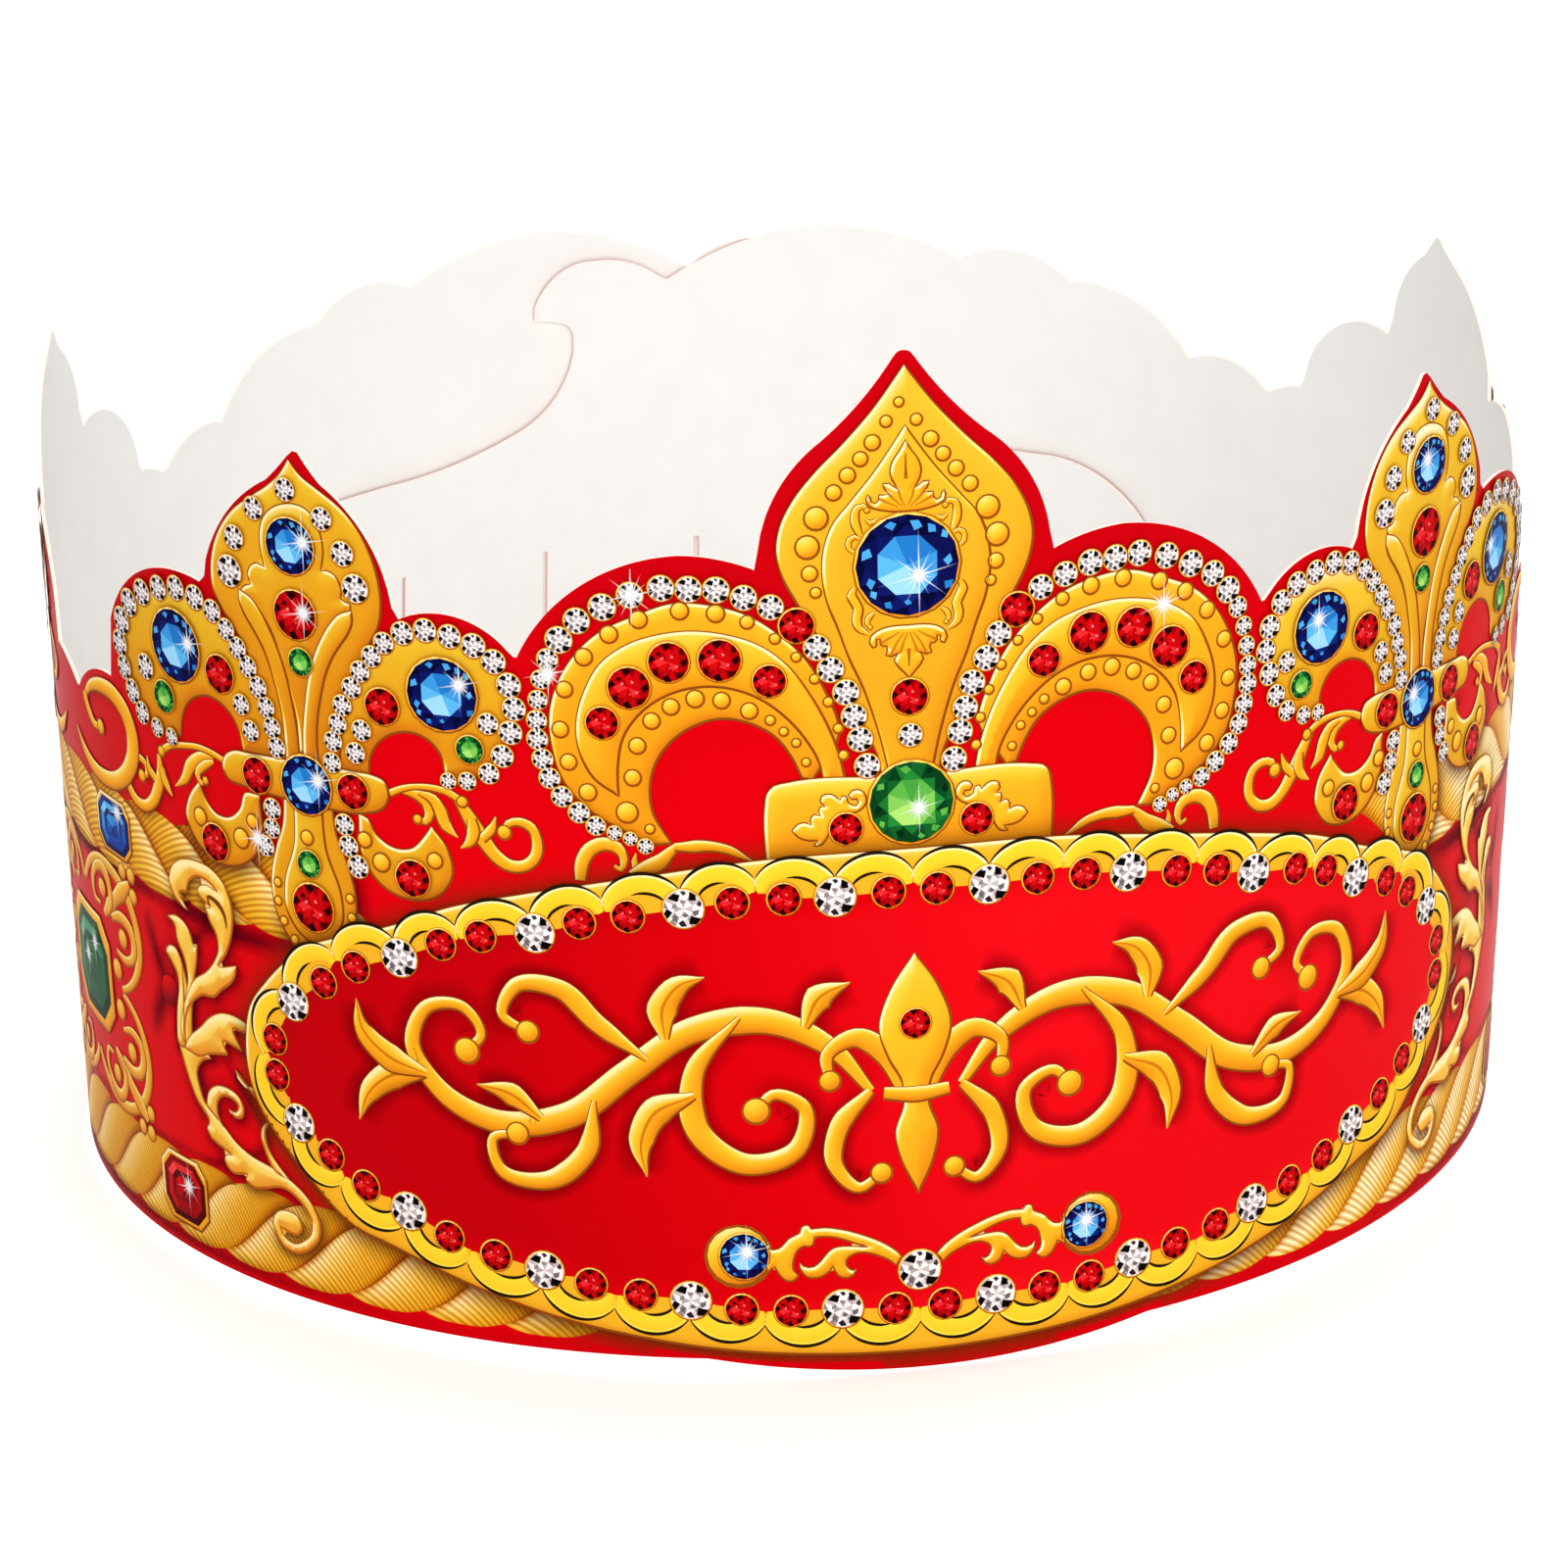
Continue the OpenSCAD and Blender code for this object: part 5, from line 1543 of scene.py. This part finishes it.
# Tall acanthus beside the cartouche, in left-hand places: outlines from the back to the front
acanthus = [
    # stem and lower curls
    [(-92.6, 26), (-91.75, 23), (-90, 19.75), (-87.75, 17.25), (-88.25, 16.6), (-87.5, 15.5, 1),
     (-85.25, 14.9), (-83.75, 14.6, 1), (-85, 14.25), (-85.25, 13.4), (-84.25, 12.5), (-81.4, 12.9, 1),
     (-81.6, 12.25), (-80.25, 11.6), (-78.5, 12), (-75, 12.8), (-73.5, 12.25), (-72, 11), (-71.25, 9.5),
     (-71.5, 8.25), (-72.5, 7.25), (-74.25, 6.4), (-75.75, 6.9), (-76.25, 7.9, 1), (-75, 7.6),
     (-73.75, 7.5), (-72.75, 8.75), (-73.5, 9.9), (-75.25, 10.2), (-76.75, 9.6), (-77.4, 8.5),
     (-77, 6.75), (-75.75, 5.5), (-73.75, 5.3), (-71.5, 6.5), (-70.25, 8), (-70, 9.75), (-70.75, 11.5),
     (-72.25, 13), (-74.25, 14.1), (-76.6, 14.8), (-81, 15.6), (-83, 16.4), (-85, 17.75), (-86.6, 18.6),
     (-88, 19.4), (-89, 21.25), (-89.4, 23), (-88.25, 24.75), (-86.4, 25.6, 1), (-88.6, 26.4)],
    # second small leaf and curl leaf
    [(-78, 16.75), (-78.5, 18.25), (-78.1, 19.75), (-77.1, 20.5, 1), (-77.75, 18.75), (-77.4, 17.25),
     (-76, 15.5), (-74.25, 14.1, 1), (-76.6, 14.6)],
    [(-88, 19.4, 1), (-87.4, 21.25), (-86, 22.4), (-84, 22.75), (-82, 22.25), (-81.1, 21),
     (-81.5, 19.75), (-82.75, 19.45), (-83.9, 20.1, 1), (-82.4, 20.25), (-82, 21), (-83, 21.6),
     (-84.75, 21.5), (-85.75, 20.5), (-85.9, 19), (-85, 17.6, 1)],
    # round leaf
    [(-94, 36.5), (-93.25, 37.4), (-92.1, 37.5), (-91, 36.4), (-90.5, 35.25), (-89.8, 31),
     (-90.6, 25.6, 1), (-92.6, 25.4), (-92.75, 28.5), (-92.25, 31), (-91.75, 33), (-92, 34.25),
     (-93, 35.5)],
    # tall left leaf
    [(-93.1, 41, 1), (-91.5, 41.5), (-89.75, 41.1), (-88.5, 39.75), (-88.1, 38.6), (-87.5, 39.1, 1),
     (-87.75, 37.25), (-88.5, 34.75), (-89.4, 31), (-90, 26, 1), (-91.6, 26, 1), (-91, 31),
     (-89.8, 34.4), (-90.25, 36.5), (-91.4, 38.5), (-91.75, 40.25)],
    # lower right leaf
    [(-91.6, 25.4, 1), (-90.5, 27), (-88, 29), (-86, 30.75), (-84, 31.75), (-81.75, 32),
     (-79.5, 31.6, 1), (-79.75, 30.5), (-82, 30.4), (-80.75, 28, 1), (-84, 28.2), (-83.25, 26.9, 1),
     (-86.75, 26), (-88.6, 25.2)],
    # hook with its right leaf
    [(-88.75, 42.75, 1), (-91.25, 43.75), (-92.1, 45.25), (-91.5, 47.25), (-89.75, 48.6),
     (-86.75, 49.25), (-84, 49), (-82, 47.75), (-80.9, 45.75), (-80.75, 43.75), (-81.25, 41.5),
     (-82.5, 39), (-83.75, 37.5), (-80.75, 38.25, 1), (-81, 37), (-82, 35.75), (-83.6, 34.6),
     (-85, 33.4), (-87.25, 33), (-88.75, 32), (-90, 30.75), (-90.9, 29), (-91.25, 25.4, 1), (-92, 27),
     (-91.4, 30), (-90, 32.6), (-88.6, 34.5), (-86, 36.25), (-84.4, 38), (-83.6, 39.5), (-83.9, 41.25),
     (-85, 42.75), (-85.4, 44, 1), (-84.5, 44.25), (-86.5, 45.25), (-86.6, 46), (-85.5, 46.75),
     (-83, 46.4, 1), (-85, 47.4), (-87, 47.25), (-88.25, 46.25), (-88.75, 45, 1), (-90.25, 44.5)],
    # leaf behind the cartouche
    [(-82.1, 25.25, 1), (-80.5, 24.1), (-78, 23.8), (-78, 22.8)],
]


def leafWork():
    # the right side's leaves get painted light: a higher base tone
    for turn, base in ((1, 0.74), (-1, 0.74 + paint["rightPaintedLight"])):
        side = mover(turn)
        for layer, rows in enumerate(acanthus):
            line = curve(side(rows), True)
            shadow(line, 1.9, 0.6, 6, around=0.3)
            area("leaves", line, 8 + 0.4 * layer, leafGold, bevel=2.6, base=base, fall=0.1, cell=0.4)
            rim("leaves", line, 8.2 + 0.4 * layer, leafGold, (0.12, 0.26), 0.24)
        fold = side([(-84.6, 44.4), (-84.9, 45.4), (-83.4, 45.2), (-82.2, 44), (-81.9, 42.4)])
        penLine("leaves", fold, (0.2, 0.5, 0.7, 0.5, 0.2), 12, gold, 0.12)
        vein = side([(-90.8, 36.6), (-90.9, 32), (-91.6, 27)])
        penLine("leaves", vein, (0.1, 0.3, 0.1), 12, gold, 0.3)


# Tufted cushion behind the ornament: buttons and the creases that leave each, (middle, end, width)
creases = {
    (-94, 31.75): [
        ((-96.4, 35.6), (-98.4, 40.4), 2.0), ((-96.4, 29), (-98.5, 25), 2.4),
        ((-89, 38.5), (-83, 43.5), 2.2), ((-90, 24), (-86, 18), 2.4),
    ],
    (-76.5, 17.75): [((-80, 22), (-84, 26), 1.6), ((-82, 14.4), (-90, 12), 1.6)],
    (-141, 31.75): [
        ((-138, 38), (-133, 44), 2.2), ((-138, 25), (-132, 16), 2.2),
        ((-146, 38), (-152, 44), 2.2), ((-146, 25), (-152, 16), 2.2),
    ],
}
# Shades beside the ropes: line, width and depth
shades = [
    ([(-92, 43.4), (-80, 42), (-72, 42)], 4.0, 0.75),
    ([(-128, 43.2), (-112, 43), (-96, 43.2)], 3.0, 0.5),
    ([(-128, 12.6), (-108, 12.4), (-84, 12.4)], 2.0, 0.4),
]


# The button behind the low leaves is hidden
def cushion():
    for turn in (1, -1):
        side = mover(turn)
        for button, folds in creases.items():
            for middle, end, width in folds:
                shadow(curve(side([button, middle, end])), width * 1.6, 0.6, 1, False)
        for s, z in [button for button in creases if button[1] > 30]:
            shadow(curve(side([(s - 3.4, 27.6), (s - 1.4, 32), (s - 2.4, 36.4)])), 4, 0.35, 1, False)
            beads("leaves", side([(s, z, 1.8)]), 2, tones=reds, base=0.5, lit=0.4)
        for rows, width, depth in shades:
            shadow(curve(side(rows)), width, depth, 1, False)


# Each half's ropes run back to the slit in use. The shadow under each starts under the cartouche.
def ropes():
    for side, slit in ((-1, leftSlot), (1, closure["slotPlace"])):
        end = slit - closure["printGap"]
        for kind in ropeKinds.values():
            start, pitch = kind["start"], kind["pitch"]
            count = int((end - start) / pitch)
            rope(start if side > 0 else -start - pitch * count, count, kind)
        for kind in ropeKinds.values():
            s = side * np.linspace(60, end - 1, 150)
            line = np.stack([s, np.full(len(s), kind["middle"] - kind["shadow"])], -1)
            shadow(line, 3.0, 0.7, 4.5, False)


# Tones, place from the front, height, width and height of the stone, and width of its frame
squareCuts = [
    (sapphire, 105, 48.2, 8.4, 6.2, 0.5), (ruby, 94.1, 7.1, 8.8, 7.4, 0.6),
    (deepGreen, 117.6, 27.5, 13.6, 12, 1.3),
]


def squareStones():
    for side, back in ((-1, 0), (1, rosette["rightBack"])):
        for tones, place, *cut in squareCuts:
            squareStone(tones, side * (place + back), *cut)


# Sparkles: s, z and the reach of the longest ray
sparklePlaces = [
    (-29.3, 87.3, 4.5), (-38.5, 78.3, 3.5), (-66.8, 90, 4.5), (-67.2, 82, 4), (-48.5, 76.3, 3.5),
    (-66.5, 63, 4), (-75.6, 54.6, 4), (-84.9, 75.1, 4), (-102.9, 50.5, 3.5), (-92.6, 8.1, 3.5),
    (-114.4, 31, 3.5), (-118, 28.5, 3.5), (-18.8, 12.8, 3.5), (1.2, 88.6, 5.5), (29, 82, 4),
    (19.2, 12.8, 3.5), (68, 90, 4), (50, 76, 3.5), (85, 75.4, 3.5), (0.8, 62.8, 3.5), (67, 63, 4),
]

ropes()
cushion()
filigree()
leafWork()
scrollWork()
for turn in (1, -1):
    # painted light: the gold of the right side is lifted
    glow = paint["rightPaintedLight"] if turn < 0 else 0
    sideFleur(mover(turn), glow)
    third = mover(turn, fleur["thirdShift"], fleur["thirdSize"], fleur["thirdDrop"])
    sideFleur(third, glow, twin=True)
centreFleur()
cartouche()
fieldOrnament()
squareStones()
for row in sparklePlaces:
    sparkle(*row)
print("print drawn")


# One piece per sheet, cut a hair inside the edge of the card
def makeSheets():
    margin = 0.08  # mm
    for name, store in sheets.items():
        places, ink, faces = (np.concatenate(store[key]) for key in ("places", "ink", "faces"))
        layer, strand, cover = (np.concatenate(store[key]) for key in ("layer", "strand", "cover"))
        top = np.interp(np.abs(places[:, 0]), *crestLine.T)
        cut = (places[:, 1] > top - margin) | (places[:, 1] < bottomLine(places[:, 0]) + margin)
        faces = faces[~cut[faces].any(1) & (cover[faces].max(1) > 0.02)]
        used, faces = np.unique(faces, return_inverse=True)
        faces = faces.reshape(-1, 3)
        places, ink, layer, strand, cover = (v[used] for v in (places, ink, layer, strand, cover))
        points = onRing(places[:, 0], places[:, 1], ring["cardThickness"] / 2 + paint["layer"] * layer)
        material = {"ropes": ropeInk, "shadows": thinInk, "glints": thinInk}.get(name, varnishedInk)
        kinds = np.zeros(len(faces))
        piece = makeMesh("print_" + name, points, faces, [material], kinds, places, ink)
        for key, values in (("strand", strand), ("cover", cover)):
            made = piece.data.attributes.new(key, "FLOAT", "POINT")
            made.data.foreach_set("value", values.astype(np.float32))
        print(name, len(faces))


makeSheets()
print("print laid on the card")


studio = {
    "floor": "F0EFEE",
    "floorGlow": 0.42,  # a sweep lit from below, burnt out to white
    "floorReach": 6.0,  # metres from the middle
    "floorDrop": 0.0002,  # metres under the card
    "world": "FFFFFF",
    "worldStrength": 0.40,
    # place in metres, size, watts
    "lamps": (
        ("key", (-0.3, -1.4, 0.7), 0.9, 8.8),
        ("fill", (0.5, -1.35, 0.55), 1.2, 6.5),
        ("top", (0.1, 0.5, 1.6), 1.2, 13.2),
    ),
    "aim": (0, 0, 0.05),
}


# White floor, even white world and three round lamps
def makeStudio():
    material, tree = newMaterial("pale floor")
    shader = addNode(
        tree, "ShaderNodeBsdfPrincipled",
        inputs={"Base Color": (*linear(studio["floor"]), 1), "Roughness": 0.9,
                "Emission Color": (1, 1, 1, 1), "Emission Strength": studio["floorGlow"]})
    finishMaterial(tree, shader)
    mesh = bpy.data.meshes.new("floor")
    reach = studio["floorReach"]
    corners = [(-reach, -reach, 0), (reach, -reach, 0), (reach, reach, 0), (-reach, reach, 0)]
    mesh.from_pydata(corners, [], [(0, 1, 2, 3)])
    mesh.materials.append(material)
    floor = bpy.data.objects.new("floor", mesh)
    floor.location.z = -studio["floorDrop"]
    bpy.context.scene.collection.objects.link(floor)
    world = bpy.data.worlds.new("studio")
    world.use_nodes = True
    background = world.node_tree.nodes["Background"]
    background.inputs["Color"].default_value = (*linear(studio["world"]), 1)
    background.inputs["Strength"].default_value = studio["worldStrength"]
    bpy.context.scene.world = world
    for name, place, size, power in studio["lamps"]:
        data = bpy.data.lights.new(name, "AREA")
        data.shape = "DISK"
        data.size = size
        data.energy = power
        lamp = bpy.data.objects.new(name, data)
        lamp.location = place
        aim = Vector(studio["aim"]) - Vector(place)
        lamp.rotation_euler = aim.to_track_quat("-Z", "Y").to_euler()
        bpy.context.scene.collection.objects.link(lamp)


makeStudio()
print("studio lit")
